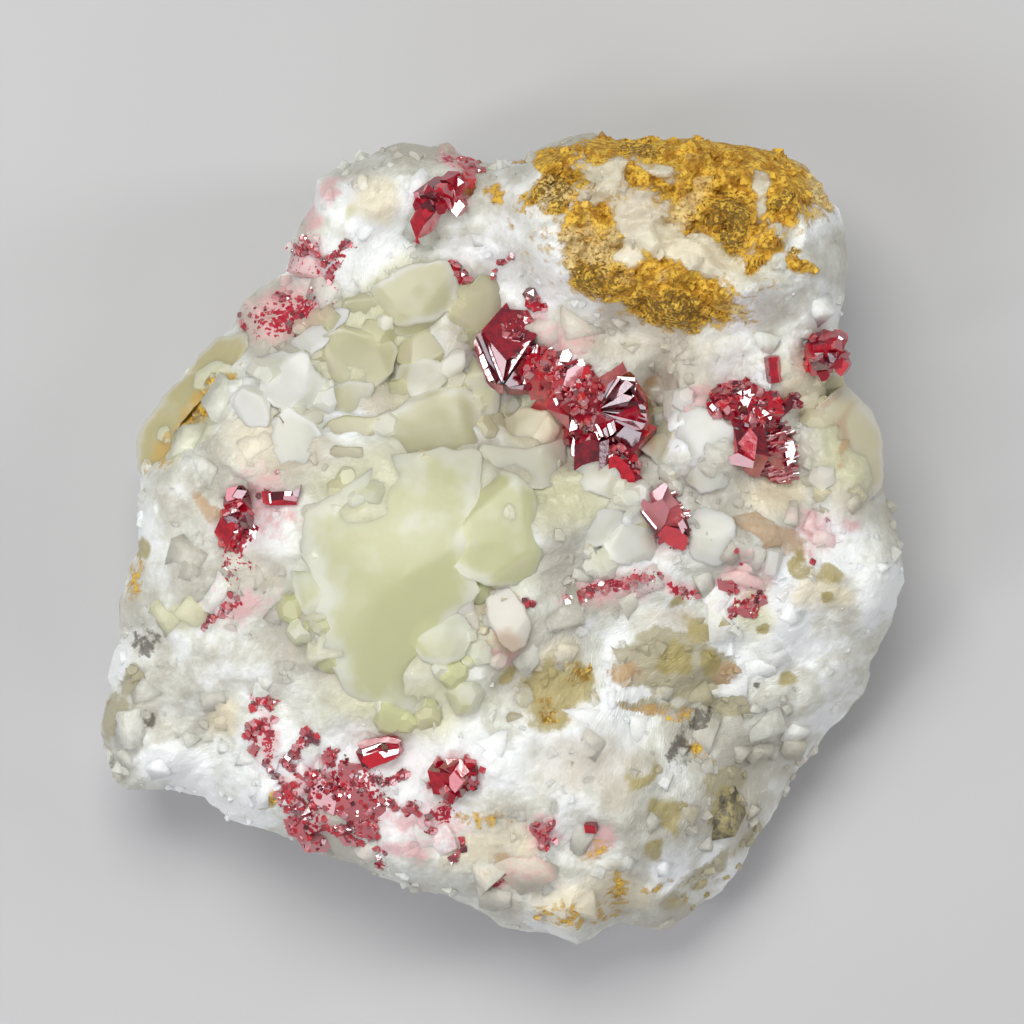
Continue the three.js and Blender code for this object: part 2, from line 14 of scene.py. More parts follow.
import bpy
import numpy as np
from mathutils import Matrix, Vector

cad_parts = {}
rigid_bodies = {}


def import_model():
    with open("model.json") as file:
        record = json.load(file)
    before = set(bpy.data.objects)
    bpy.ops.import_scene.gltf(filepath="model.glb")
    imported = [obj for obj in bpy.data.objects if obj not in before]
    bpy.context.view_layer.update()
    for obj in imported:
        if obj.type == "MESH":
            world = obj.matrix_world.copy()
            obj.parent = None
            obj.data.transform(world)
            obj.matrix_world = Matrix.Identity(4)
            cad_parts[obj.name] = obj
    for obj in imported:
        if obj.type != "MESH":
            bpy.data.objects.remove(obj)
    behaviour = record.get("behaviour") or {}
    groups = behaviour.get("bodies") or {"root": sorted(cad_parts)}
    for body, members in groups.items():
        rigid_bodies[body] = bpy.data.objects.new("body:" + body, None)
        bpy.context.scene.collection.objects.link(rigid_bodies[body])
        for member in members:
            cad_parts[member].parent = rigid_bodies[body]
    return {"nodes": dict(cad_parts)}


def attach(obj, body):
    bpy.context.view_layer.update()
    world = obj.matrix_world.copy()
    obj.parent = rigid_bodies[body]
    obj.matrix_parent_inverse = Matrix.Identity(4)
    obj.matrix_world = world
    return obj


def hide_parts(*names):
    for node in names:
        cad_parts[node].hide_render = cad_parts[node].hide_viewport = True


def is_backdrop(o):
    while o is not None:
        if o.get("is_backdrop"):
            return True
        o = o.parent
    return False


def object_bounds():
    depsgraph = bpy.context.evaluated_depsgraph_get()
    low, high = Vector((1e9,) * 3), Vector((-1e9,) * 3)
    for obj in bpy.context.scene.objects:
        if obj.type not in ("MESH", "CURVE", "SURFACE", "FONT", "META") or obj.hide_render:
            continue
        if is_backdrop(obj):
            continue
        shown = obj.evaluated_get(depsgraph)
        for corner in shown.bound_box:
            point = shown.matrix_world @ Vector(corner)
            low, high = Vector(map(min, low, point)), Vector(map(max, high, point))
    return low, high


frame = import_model()
cad_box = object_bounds()
MM = 0.001
print("packed solids:", len(frame["nodes"]))
print("their box in mm:", [round(v / MM, 1) for v in cad_box[1] - cad_box[0]])

# %% [markdown]
# ## Camera
# The specimen fits a palm, and a catalogue plate shows it without the bulge that a short lens gives. An
# orthographic camera would be flat too, but a long lens from well above keeps a trace of depth, as in a
# real plate. The lens is worked out from the width that the picture has to take in at the level of the
# crystals.

# %% Camera straight above the open face
FACE_LEVEL = 20.0
CAMERA_RISE = 420.0
PICTURE_WIDTH = 90.1
PICTURE_MIDDLE = (0.97, 2.46)
SENSOR = 36.0

camera_data = bpy.data.cameras.new("camera")
camera_data.sensor_width = SENSOR
camera_data.lens = SENSOR * CAMERA_RISE / PICTURE_WIDTH
camera = bpy.data.objects.new("camera", camera_data)
camera.location = (PICTURE_MIDDLE[0] * MM, PICTURE_MIDDLE[1] * MM, (FACE_LEVEL + CAMERA_RISE) * MM)
bpy.context.scene.collection.objects.link(camera)
bpy.context.scene.camera = camera
print("lens in mm:", round(camera_data.lens, 1))

# %% [markdown]
# ## Light
# Milky calcite wants a large soft light from the front, and cinnabar, which shines almost like metal, wants
# bright shapes to mirror with dark between. A sky picture would light both, but its shapes can't be placed.
# So there is one big soft panel above, and narrower ones low at the sides: each crystal face that leans
# towards one of them flashes, and the next face stays deep red.

# %% Soft panels and room
LIGHTS = [
    # name, place in mm, width and height in mm, watts, colour
    ("panel_main", (-90, 230, 510), 330, 220, 1.95, (1.0, 0.995, 0.97)),
    ("panel_left", (-430, -140, 310), 150, 320, 0.42, (0.93, 0.93, 1.0)),
    ("strip_left", (-300, -105, 400), 60, 200, 0.36, (1.0, 1.0, 1.0)),
    ("panel_low_left", (-240, -360, 300), 320, 200, 0.36, (0.90, 0.90, 1.0)),
    ("panel_low_right", (300, -300, 290), 280, 180, 0.36, (0.94, 0.92, 1.0)),
    ("panel_right", (450, 90, 330), 100, 280, 0.62, (1.0, 1.0, 1.0)),
]
for name, place, width, height, watts, shade in LIGHTS:
    lamp = bpy.data.lights.new(name, "AREA")
    lamp.shape = "RECTANGLE"
    lamp.size = width * MM
    lamp.size_y = height * MM
    lamp.energy = watts
    lamp.color = shade
    holder = bpy.data.objects.new(name, lamp)
    holder.location = [c * MM for c in place]
    away = np.array(place, float) - (0, 0, FACE_LEVEL)
    tilt = math.atan2(math.hypot(away[0], away[1]), away[2])
    holder.rotation_euler = (tilt, 0, math.atan2(away[0], -away[1]))
    bpy.context.scene.collection.objects.link(holder)

ROOM_COLOUR = (1.0, 0.99, 0.97, 1)
ROOM_STRENGTH = 0.12
world = bpy.data.worlds.new("room")
world.use_nodes = True
background = world.node_tree.nodes["Background"]
background.inputs["Color"].default_value = ROOM_COLOUR
background.inputs["Strength"].default_value = ROOM_STRENGTH
bpy.context.scene.world = world
bpy.context.scene.view_settings.view_transform = "Standard"
rays = bpy.context.scene.cycles
rays.max_bounces = 6
rays.diffuse_bounces = 2
rays.glossy_bounces = 2
rays.transmission_bounces = 4
rays.caustics_reflective = rays.caustics_refractive = False
print("panels:", len(LIGHTS))

# %% [markdown]
# ## Unevenness that never repeats
# Broken rock has no straight lines, but its unevenness has sizes: lumps of a few millimetres, grains of
# half a millimetre. It could come from a running random generator, but then every grain would move when one
# is added. The helpers below mix the bits of a cell's address instead, so the same place gives the same
# answer every time. Drift is soft and cloudy, crystal corners are sharp, and packed blocks are blunt and
# know their own tone.

# %% Smooth drift and crystal corners
def cell_number(ix, iy, seed):
    """A number from 0 to 1 for each whole (ix, iy): the address is multiplied by large odd numbers and its
    bits are folded over each other."""
    h = (ix.astype(np.int64) * 374761393 + iy.astype(np.int64) * 668265263 + seed * 974634777) & 0xFFFFFFFF
    h = ((h ^ (h >> 13)) * 1274126177) & 0xFFFFFFFF
    return ((h ^ (h >> 16)) & 0xFFFFFF) / 0xFFFFFF


def drift(x, y, size, seed):
    """Smooth unevenness from -1 to 1: cell numbers on a lattice of that size, blended by 3t^2 - 2t^3 each
    way."""
    gx, gy = np.floor(x / size), np.floor(y / size)
    tx, ty = x / size - gx, y / size - gy
    tx, ty = tx * tx * (3 - 2 * tx), ty * ty * (3 - 2 * ty)
    low = cell_number(gx, gy, seed) * (1 - tx) + cell_number(gx + 1, gy, seed) * tx
    high = cell_number(gx, gy + 1, seed) * (1 - tx) + cell_number(gx + 1, gy + 1, seed) * tx
    return 2 * (low * (1 - ty) + high * ty) - 1


def rough_drift(x, y, size, seed, layers=4):
    """Drift plus drift of half the size and half the height, and so on."""
    return sum(drift(x, y, size / 2**k, seed + k) / 2**k for k in range(layers))


def near_cells(x, y, size, seed, margin, wrap):
    """The nine cells round each place: the address of each, and how far the place is from a random spot in
    it. The spot keeps the margin from the cell's border. With wrap, the cells repeat along x after that
    many."""
    cx, cy = np.floor(x / size), np.floor(y / size)
    for dx, dy in itertools.product((-1, 0, 1), (-1, 0, 1)):
        ix, iy = cx + dx, cy + dy
        kx = np.mod(ix, wrap) if wrap else ix
        px = (ix + margin + (1 - 2 * margin) * cell_number(kx, iy, seed)) * size
        py = (iy + margin + (1 - 2 * margin) * cell_number(kx, iy, seed + 1)) * size
        yield kx, iy, x - px, y - py


CORNER_MARGIN, BLOCK_MARGIN = 0.15, 0.12  # how far inside its cell a spot stays, as a share of the cell
LEAST_SLOPE, MORE_SLOPE = 0.55, 0.9  # a plane's slope goes from the least one to that much more
LEAST_WIDTH, MORE_WIDTH = 0.62, 0.3  # a block's width goes from the least one to that much more, in cells


def crystal_corners(x, y, size, seed, slope=0.5, spread=0.5, wrap=0):
    """Height of a crust of crystal corners. Each cell of that size holds one corner, which falls from its
    peak as the steepest of three planes a third of a turn apart; the crust is the highest corner at each
    place."""
    best = np.full(np.shape(x), -1e9)
    for kx, iy, u, v in near_cells(x, y, size, seed, CORNER_MARGIN, wrap):
        peak = spread * size * cell_number(kx, iy, seed + 2)
        turn = 2 * math.pi * cell_number(kx, iy, seed + 3)
        fall = np.zeros(np.shape(x))
        for k in range(3):
            lean = slope * (LEAST_SLOPE + MORE_SLOPE * cell_number(kx, iy, seed + 4 + k))
            way = turn + 2 * math.pi * k / 3
            fall = np.maximum(fall, lean * (u * np.cos(way) + v * np.sin(way)))
        best = np.maximum(best, peak - fall)
    return best


def packed_blocks(x, y, size, seed, depth=0.3, spread=0.3, lean=0.12, wrap=0):
    """Blunt blocks grown against each other: each cell holds one, turned its own way, and the surface is
    the highest at each place. A block's height is its peak, plus a gentle slope, minus depth * size * (d^2
    + 3 d^4) / 4, where d is the distance from its middle in the 4-norm, in block widths. Also gives the
    block's own tone from 0 to 1 and how far it stands over the next one."""
    best, second, tone = (np.full(np.shape(x), v) for v in (-1e9, -1e9, 0.0))
    for kx, iy, u, v in near_cells(x, y, size, seed, BLOCK_MARGIN, wrap):
        turn = math.pi * cell_number(kx, iy, seed + 2)
        wide = size * (LEAST_WIDTH + MORE_WIDTH * cell_number(kx, iy, seed + 3))
        a = (u * np.cos(turn) + v * np.sin(turn)) / wide
        b = (v * np.cos(turn) - u * np.sin(turn)) / wide
        d2 = np.sqrt(a**4 + b**4)
        slope = lean * (2 * cell_number(kx, iy, seed + 4) - 1) * a
        slope = slope + lean * (2 * cell_number(kx, iy, seed + 5) - 1) * b
        high = size * (spread * cell_number(kx, iy, seed + 6) + slope - depth * (d2 + 3 * d2 * d2) / 4)
        over = high > best
        second = np.where(over, best, np.maximum(second, high))
        tone = np.where(over, cell_number(kx, iy, seed + 7), tone)
        best = np.maximum(best, high)
    return best, tone, best - second


def fade(value, low, high):
    """0 below low, 1 above high, and 3t^2 - 2t^3 between."""
    t = np.clip((value - low) / (high - low), 0, 1)
    return t * t * (3 - 2 * t)


sample = crystal_corners(*np.meshgrid(np.linspace(0, 20, 60), np.linspace(0, 20, 60)), 3.0, 5)
print("corner crust of 3 mm cells spans", round(float(np.ptp(sample)), 2), "mm")

# %% [markdown]
# ## The rock's form
# The rock is a broken lump: a ragged outline, a hump, a hollow and a rim that falls away. It could be
# sculpted, but then its form would exist only in the mesh. Here it is one formula, the same numbers as in
# the solids, so every crystal still sits where its socket was, and any grain can ask how high the rock is.
# Only the fine relief is new.

# %% Outline, lumps and rim
OUTLINE = np.array([
    (34.4, 4.4), (34.1, 7.7), (33.7, 9.7), (32.6, 11.1), (30.9, 11.5), (29.8, 12.1),
    (29.3, 13.9), (30.6, 16.4), (30.1, 19.2), (30.8, 22.8), (31, 24.5), (30.6, 27.5),
    (30, 29.3), (28.9, 30.7), (28.4, 31.9), (27, 33.3), (25, 34.3), (22.8, 34.8),
    (19.4, 35.1), (16.9, 35.6), (13.3, 35.4), (10.2, 35.4), (8.2, 36.1), (7, 36.3),
    (5.1, 35.4), (2.3, 33.8), (-0.5, 33.6), (-3.2, 33.8), (-4.6, 34.8), (-8.9, 35.4),
    (-12.6, 33.9), (-16.4, 32.1), (-16.7, 29.8), (-18.5, 26.6), (-19.2, 23.8), (-21, 22.9),
    (-23.1, 21.7), (-23.8, 19.5), (-24.9, 18.2), (-27.8, 15.5), (-30.4, 11.9), (-32.1, 8.4),
    (-32.2, 4.6), (-32.3, -0.9), (-33.3, -2.5), (-33.9, -6.8), (-33.7, -8.4), (-35.4, -12.4),
    (-35, -13.2), (-36, -17.2), (-35, -20.2), (-34.9, -21.2), (-33.8, -22.4), (-29.9, -22.4),
    (-26.7, -23.2), (-24.3, -25.1), (-21.2, -25.8), (-17.6, -26.9), (-12.8, -29.1), (-8.5, -30.8),
    (-4.8, -31.8), (-2.4, -32.8), (0.1, -34.3), (2.6, -34.9), (4.1, -34.8), (6.9, -36.3),
    (9.2, -35), (10.6, -34.6), (14.9, -35.2), (17.3, -33.4), (20.9, -30.4), (23, -27.2),
    (26.6, -21.6), (29.8, -17.2), (32.6, -13.8), (33.4, -11), (34.3, -9), (35.5, -5.7),
    (36, -3.7), (35.7, -0.9),
])
RIM_DEGREES = [0, 45, 90, 140, 180, 212, 255, 290, 320, 345, 360]
RIM_DROP = [7, 8, 7, 5, 6, 7, 6, 9, 12, 9, 7]
RIM_WIDTH = [2.5, 1.8, 1.5, 1.6, 1.8, 3, 2, 4, 5, 3.5, 2.5]
FACE_HEIGHT = 21.0
LUMPS = [
    # what it is, middle, half sizes, turn in degrees, height, softness of its border
    ("ochre hump", 15.5, 28, 14, 8.6, -4, 5, 0.22),
    ("vug", -8, 16, 11.5, 9.5, 20, -4.2, 0.45),
    ("vug arm", 3.5, 9.8, 6, 3.4, 0, -2.6, 0.4),
    ("brown cleft", 13.2, 11.5, 1.6, 5, -8, -2.2, 0.5),
    ("yellow mound", -6, -2, 13, 11, -10, 1.6, 0.7),
    ("upper left lobe", -8, 31, 9, 4, 10, 0.8, 0.6),
    ("pink step", -20, 20.5, 5.5, 4.5, 30, -2.4, 0.4),
    ("left slab bed", -28.5, 12.5, 3.6, 8, -38, -3.6, 0.35),
    ("right shoulder", 30, 7, 6, 8, 10, -2.4, 0.4),
    ("lower right slope", 26, -18, 10, 12, 35, -3.5, 0.6),
    ("lower left slope", -30, -19, 8, 8, 0, -2.8, 0.6),
    ("grey ledge", 15, -32, 7, 4, 35, -3, 0.5),
    ("lower rib", 4, -20, 13, 4, -12, 0.9, 0.6),
]
RIPPLES = [(0.36, 0.62, 0.21, 0.4), (0.3, -0.33, 0.71, 1.9), (0.22, 1.02, -0.52, 3.1), (0.2, 0.48, 1.1, 5.0)]

outline_angle = np.arctan2(OUTLINE[:, 1], OUTLINE[:, 0]) % (2 * math.pi)
outline_order = np.argsort(outline_angle)
outline_reach = np.hypot(OUTLINE[:, 0], OUTLINE[:, 1])


def outline_radius(angle):
    """Distance from the middle to the outline in that direction, straight between the outline's points."""
    return np.interp(angle % (2 * math.pi), outline_angle[outline_order], outline_reach[outline_order],
                     period=2 * math.pi)


def lump_share(x, y, cx, cy, rx, ry, turn, soft):
    """1 inside an ellipse and 0 outside it, fading across its soft border."""
    a = math.radians(turn)
    u = (x - cx) * math.cos(a) + (y - cy) * math.sin(a)
    v = (y - cy) * math.cos(a) - (x - cx) * math.sin(a)
    return 1 - fade(np.hypot(u / rx, v / ry), 1 - soft, 1 + soft)


def inside_rim(x, y):
    """Distance from a place on the face to the outline, along the line from the middle."""
    return np.maximum(0, outline_radius(np.arctan2(y, x)) - np.hypot(x, y))


def plain_height(x, y):
    """Height of the open face without fine relief: level + lumps + ripples - drop * exp(-inside /
    width)."""
    z = FACE_HEIGHT + sum(high * lump_share(x, y, cx, cy, rx, ry, turn, soft)
                          for _, cx, cy, rx, ry, turn, high, soft in LUMPS)
    z = z + sum(high * np.sin(along * x + across * y + start) for high, along, across, start in RIPPLES)
    degrees = np.degrees(np.arctan2(y, x)) % 360
    drop = np.interp(degrees, RIM_DEGREES, RIM_DROP)
    return z - drop * np.exp(-inside_rim(x, y) / np.interp(degrees, RIM_DEGREES, RIM_WIDTH))


print("outline points:", len(OUTLINE), "height in the middle:", round(float(plain_height(0.0, 0.0)), 2))

# %% [markdown]
# ## Where the colours lie
# Iron has stained the hump ochre and olive, cinnabar dust shows pink through the milky calcite, and pieces of
# the grey-beige host rock are caught in it. Painting them on an unwrapped mesh is the usual way, but a
# painting is tied to that mesh. Here each stain is a soft ellipse, which rock and grains can both read.
# Before they are read, the places are pushed about by drift, so that no border stays an ellipse.

# %% Stains as soft ellipses
# Most stains are the rock's own colour, but a few paint light and shade: parts of the white patches light the
# right rim, and an olive and a dark line paint shade under the hump's lip.
STAINS = {
    "ochre": [
        (4.8, 33.2, 2.2, 1.8, 0, 0.4), (17, 34, 11.2, 2.3, -2, 0.4), (18, 29.4, 6.4, 3.8, -12, 0.4),
        (25.8, 30.4, 3, 3.8, 0, 0.4), (8.2, 26.9, 3.2, 2.5, -35, 0.4), (13.4, 22, 8.2, 2.4, -14, 0.35),
        (4.6, 30.4, 2.6, 1.5, 20, 0.5), (-0.3, 31.1, 1, 1, 0, 0.5), (1.4, 33.4, 0.9, 0.6, 0, 0.5),
        (23, 24.9, 2, 1, 20, 0.5), (26.2, 24, 0.7, 1, 0, 0.5), (12, 31.5, 3, 1, -20, 0.6),
        (21, 31.8, 1.6, 1.6, 0, 0.5), (-30.6, 7.9, 1.7, 1.4, 30, 0.5), (-32.6, -3.7, 0.9, 1.8, 0, 0.6),
        (9.3, -33.3, 2.9, 0.8, 12, 0.5), (10.4, -31.5, 1, 1.5, -20, 0.5), (3, -33.6, 0.9, 0.7, 0, 0.5),
        (14.3, -30.3, 2.4, 0.5, 12, 0.6), (-1.2, -24.9, 1.6, 0.8, -10, 0.6), (-2.6, -24.3, 1, 0.5, 0, 0.6),
        (12.9, -15.3, 1.9, 0.5, -4, 0.6), (15.9, -15.8, 1.2, 0.8, 20, 0.6), (14.4, -16.2, 0.5, 0.5, 0, 0.4),
        (17.8, -18.9, 0.9, 1.1, 0, 0.6), (8.4, -27, 1.2, 0.9, 0, 0.7), (16.3, -32.4, 0.9, 0.6, 0, 0.6),
        (-19.8, -22.7, 0.8, 0.6, 0, 0.6), (-26.9, 11.8, 0.9, 4.8, -43, 0.5), (6.2, -32.6, 3, 0.9, 4, 0.6),
        (4.2, -14.4, 1.3, 1.2, 0, 0.6), (6.6, -11.4, 1, 0.8, 0, 0.6),
    ],
    "olive": [
        (20, 27.6, 2, 2.5, 0, 0.6), (24.8, 29.6, 1.2, 1.2, 0, 0.6), (8.4, 22.6, 2.2, 1.9, 0, 0.5),
        # (14.4, 20.2) is painted shade under the hump's lip.
        (14.4, 20.2, 4.6, 1.3, -12, 0.5), (4.4, 30.2, 2.8, 1.2, 20, 0.7), (12.2, 34.2, 2.4, 1, 0, 0.7),
        (26.4, 25.3, 0.9, 0.6, 30, 0.5), (17.8, -7.8, 1.9, 1.2, 0, 0.5), (14.9, -10.2, 1.5, 1.3, 0, 0.4),
        (18.4, -10.6, 0.9, 1.1, 0, 0.4), (22.4, -8.1, 0.6, 0.5, 0, 0.5), (4.4, -13.6, 2.7, 3.2, -20, 0.4),
        (7.2, -12.6, 1.2, 2.4, 20, 0.5), (0.6, -11.8, 0.8, 1, 0, 0.6), (14.6, -24.2, 1.2, 2, 20, 0.6),
        (12.4, -20.6, 1.8, 0.6, 35, 0.6), (20.4, -24.2, 2.2, 2.3, 30, 0.6), (25.4, -12.6, 0.8, 1, 0, 0.6),
        (26.6, -2, 0.8, 1.6, 40, 0.6), (29.4, -3.4, 1.4, 0.8, 0, 0.6), (28.4, -5.2, 0.6, 0.5, 0, 0.5),
        (-20.4, -22.9, 1, 0.7, 0, 0.5), (13.2, -27.4, 0.8, 1, 30, 0.6), (15.6, -5.6, 0.9, 0.6, 20, 0.6),
        (-32.2, -1, 0.7, 0.9, 0, 0.6), (18.8, -32.4, 3.6, 1.6, 35, 0.8),
    ],
    "host": [
        (15.3, -11, 5.4, 2.8, -8, 0.3), (19.6, -14.4, 2.2, 1.4, 0, 0.4), (12.6, -14.9, 2.4, 0.9, -6, 0.4),
        (19.8, -21.5, 2.6, 1.3, 5, 0.4), (-34.2, -15.4, 1.9, 2.2, 0, 0.5), (18, -31, 4.6, 2, 38, 0.5),
        (22.8, -28.4, 1.6, 3.2, -35, 0.5), (-32.6, -12.4, 1.2, 1.2, 0, 0.7),
    ],
    "rust_beige": [
        (11.2, -11.3, 1.4, 1.2, 0, 0.5), (19.7, -11.8, 1.2, 1.5, 0, 0.5), (12.6, -15.2, 2.2, 0.7, -6, 0.5),
        (13.2, 11.2, 1, 3.4, -8, 0.6), (24.5, -0.2, 3.2, 1, -25, 0.7), (30.6, 9.4, 0.7, 3, -15, 0.7),
        (28.8, 12.6, 1.2, 0.6, 30, 0.7), (0.6, -9, 1.6, 1.2, 0, 0.8), (-25.6, 2.4, 2, 0.6, -60, 0.8),
        (0.2, -29.6, 1.6, 1.6, 30, 0.8),
    ],
    "pink": [
        (-18.7, 20.2, 4.6, 2.7, 8, 0.6), (-17.1, 25.2, 1.6, 2.2, -10, 0.6), (-14.9, 31, 1.3, 1.2, 0, 0.8),
        (-17.2, 28.6, 0.9, 1.6, 0, 0.7), (-4.7, 33.3, 1.5, 1, 0, 0.6), (-2.6, 32.2, 1.2, 1, 0, 0.6),
        (-3.4, 29.6, 1.2, 0.9, 0, 0.8), (-20.8, 3.5, 2.6, 3.2, 0, 0.9), (-23, -5.9, 3, 1.8, 10, 0.9),
        (-21, -18, 1.3, 2.6, 15, 0.8), (-15, -21.6, 4.6, 2.6, -12, 0.8), (-17, -25, 2.6, 1.8, -40, 0.7),
        (-6.4, -24.6, 4.2, 1.8, 0, 0.9), (-8.6, -27.4, 3, 1.2, -15, 0.9), (9.6, -4.4, 4, 1.6, 10, 0.7),
        (15.6, -4.2, 2, 1, -20, 0.7), (21.4, -3.6, 2.6, 2.2, 0, 0.8), (3.4, -25.4, 2.2, 1.6, 0, 0.7),
        (8.6, -26.2, 1.6, 1.6, 0, 0.8), (1.8, -29.4, 1.8, 1.6, 0, 0.8), (-0.2, -31.2, 0.9, 1.8, -35, 0.7),
        (27.4, 0.6, 2.4, 1.8, -30, 0.9), (31.4, 0.8, 1.2, 1, 0, 0.8), (0, -10.2, 1.8, 0.9, -15, 0.9),
        (3.4, 19.2, 1.6, 1.4, 0, 0.9), (5.8, 17, 2, 1.4, -30, 1), (17.4, 13, 2, 1, 0, 0.9),
        (-3.8, -20.6, 2.6, 2, 0, 0.9), (5, 9, 1.4, 1, 0, 0.9),
    ],
    "dust": [
        (-18.3, 20, 3.6, 1.5, 10, 0.7), (-15.4, 22.6, 0.8, 3, -35, 0.6), (-17.2, 25.6, 1, 1.2, 0, 0.8),
        (-13.8, -21.9, 3.4, 1.5, -8, 0.6), (-16.9, -25.2, 1.8, 1, -45, 0.6),
        (-21.2, -17.6, 0.5, 1.8, 15, 0.7), (-11.8, -24.6, 1.4, 0.9, 20, 0.7), (-3.9, -20.6, 1.5, 1.2, 0, 0.6),
        (-23.2, 0.8, 0.9, 3, 0, 0.6), (-4.8, -24.4, 1.2, 0.7, 0, 0.7), (9.4, -4.2, 2.8, 0.5, 12, 0.7),
        (15.7, -4.4, 1.4, 0.5, -28, 0.6), (-0.4, -31.2, 0.4, 1.5, -35, 0.6), (-24.2, -5.9, 1, 0.5, 40, 0.7),
        (21.8, -5.6, 1.6, 0.6, 22, 0.6), (-4.9, 33.3, 0.9, 0.5, 0, 0.7), (-11.6, -28.4, 1, 0.5, -15, 0.6),
    ],
    "lemon": [
        (-8, -2, 10.5, 11, 0, 0.5), (-6.4, 10.4, 4.8, 3.6, -20, 0.6), (-11.6, 17, 5.6, 4, 30, 0.7),
        (-7.7, 21.6, 3.6, 3.4, 0, 0.5), (-0.4, 1, 3.6, 4.6, 0, 0.6), (31.4, 8.6, 4.2, 5.2, 0, 0.6),
        (29, 14, 2, 2.2, 0, 0.7), (-28.2, 12.2, 3.2, 6.6, -38, 0.4), (-28, -6.9, 2, 0.9, 10, 0.7),
        (14, 9.4, 1.2, 2.6, 0, 0.6), (-12.6, 28.5, 0.7, 0.9, 0, 0.7), (2.8, 10.4, 4.2, 2.4, 0, 0.8),
        (5, 4, 6, 3, 0, 0.9), (22, -6, 2, 3, 0, 0.9), (-8, -14, 7, 3, 0, 0.9),
    ],
    "cream": [
        (-24.8, -16.1, 1.8, 1.8, 0, 0.7), (-10.8, 29.7, 2.2, 2, 0, 0.8), (0, -6, 2.6, 2.4, -40, 0.6),
        (26.6, 13.2, 2.4, 2.6, 0, 0.8), (24, 3.6, 3, 2, 0, 0.9), (-2, -27.4, 3.4, 2, -15, 0.9),
        (2, -27, 2, 2, 0, 0.9), (28, -4.6, 2.4, 1.6, 0, 0.7), (-20, 9, 4, 3, 0, 0.9),
        (14.6, 28.4, 10.5, 6.6, -4, 0.7), (8.4, -32, 6, 2.4, 6, 0.8), (5, -12.6, 3.4, 3.4, 0, 0.7),
    ],
    "smoke": [
        (-18, 6.6, 4, 2, 20, 0.7), (-10.4, 12.6, 3, 2, 10, 0.8), (4.6, 14.2, 3, 1.2, -30, 0.9),
        (6.2, 17.8, 1.6, 2.6, 20, 0.7), (3, 10.2, 3.6, 1.6, 0, 0.8), (15.6, 15, 3.4, 3.4, 0, 0.9),
        (11.4, 8, 2, 2, 0, 0.9), (-21.2, -2.6, 2.8, 2.2, 0, 0.9), (-3.6, 18, 1.6, 2.6, 0, 0.8),
        (-18, -8, 1, 3, 0, 0.9), (30.6, 2.8, 2, 2, 0, 0.8), (12.2, -1.2, 1.6, 1.2, 0, 0.6),
        (27.6, -19, 2, 5, -35, 0.9), (-13, -11.6, 3.4, 1.6, 0, 0.9), (13.2, 17.6, 7.5, 2.4, -8, 0.9),
        (12.8, 29.4, 6, 4, 0, 0.8), (16, -7.2, 3.6, 1.4, 0, 0.9), (8, -20, 5, 3, 0, 1),
    ],
    # White patches of the rock; those on the right rim, at (29, 23) and (30, -10), also paint light where the
    # panels leave the rim in shade.
    "snow_and_painted_light": [
        (2.6, 24.6, 3.6, 3.2, -30, 0.6), (29, 23, 4.4, 8.5, 0, 0.5), (-25.5, -11, 5.5, 4.5, 0, 0.7),
        (-31.5, -4, 3, 5, 0, 0.7), (-8, -17, 12, 3, 0, 0.8), (30, -10, 4, 8, 0, 0.8), (5, -22, 9, 4, 0, 0.9),
        (-22, 25.5, 2.6, 6, -35, 0.8),
    ],
    "dark_patches_and_lip_shade": [
        (-31.6, -9.3, 2.1, 0.9, 8, 1), (-31, -9.6, 0.8, 0.9, 0, 1), (-31.2, -16.1, 0.8, 0.9, 30, 0.7),
        # (15.4, 19.4) is painted shade under the hump's lip; the others are dark patches of the rock.
        (16.1, -18.4, 1.2, 1.1, 0, 0.9), (17.4, -16.8, 0.6, 0.7, 0, 0.8), (15.4, 19.4, 2.2, 0.6, -12, 0.8),
        (20.6, -24.4, 1.8, 1.8, 30, 0.9), (22.9, -12.1, 0.4, 0.4, 0, 0.6),
    ],
    "bare": [
        (8.9, 31.2, 1, 3.4, -32, 0.5), (12.8, 28.2, 2, 2, 0, 0.5), (16.6, 25.4, 3.8, 1.4, -14, 0.5),
        (22.7, 30.6, 0.9, 2.6, 4, 0.5), (13.6, 32.4, 2.6, 0.8, -25, 0.6), (26.8, 27.6, 1.4, 2.2, 0, 0.6),
        (2.2, 31.6, 1.2, 1.2, 0, 0.7), (10.6, 24.8, 0.8, 1.2, -35, 0.6),
    ],
}


STAIN_PUSH = 0.75  # mm by which drift pushes a place before its stains are read
CRUST_HUMP = (15.5, 28, 15, 10, -4, 0.2)  # the hump as far as it can be crusted
CRUST_HEART = (14, 28.5, 12, 8, -4, 0.3)  # its middle, which is never quite clean


def stain(kind, x, y):
    """How strongly a place carries one kind of stain, 0 to 1: the strongest of its ellipses, read at a
    place that drift has pushed about."""
    wx = x + STAIN_PUSH * rough_drift(x, y, 2.6, 11, 3)
    wy = y + STAIN_PUSH * rough_drift(x, y, 2.6, 23, 3)
    share = np.zeros(np.shape(x))
    for cx, cy, rx, ry, turn, soft in STAINS[kind]:
        share = np.maximum(share, lump_share(wx, wy, cx, cy, rx, ry, turn, soft))
    return share


def crust_share(x, y):
    """Where the ochre crust lies: the ochre stains and the hump's olive ones, without the bare patches
    between."""
    hump = lump_share(x, y, *CRUST_HUMP)
    crust = np.maximum(stain("ochre", x, y) * (0.45 + 0.55 * hump), 0.9 * hump * stain("olive", x, y))
    crust = np.maximum(crust, 0.27 * lump_share(x, y, *CRUST_HEART))
    return np.clip(crust - 0.62 * stain("bare", x, y), 0, 1)


print("stains placed:", {kind: len(rows) for kind, rows in STAINS.items()})

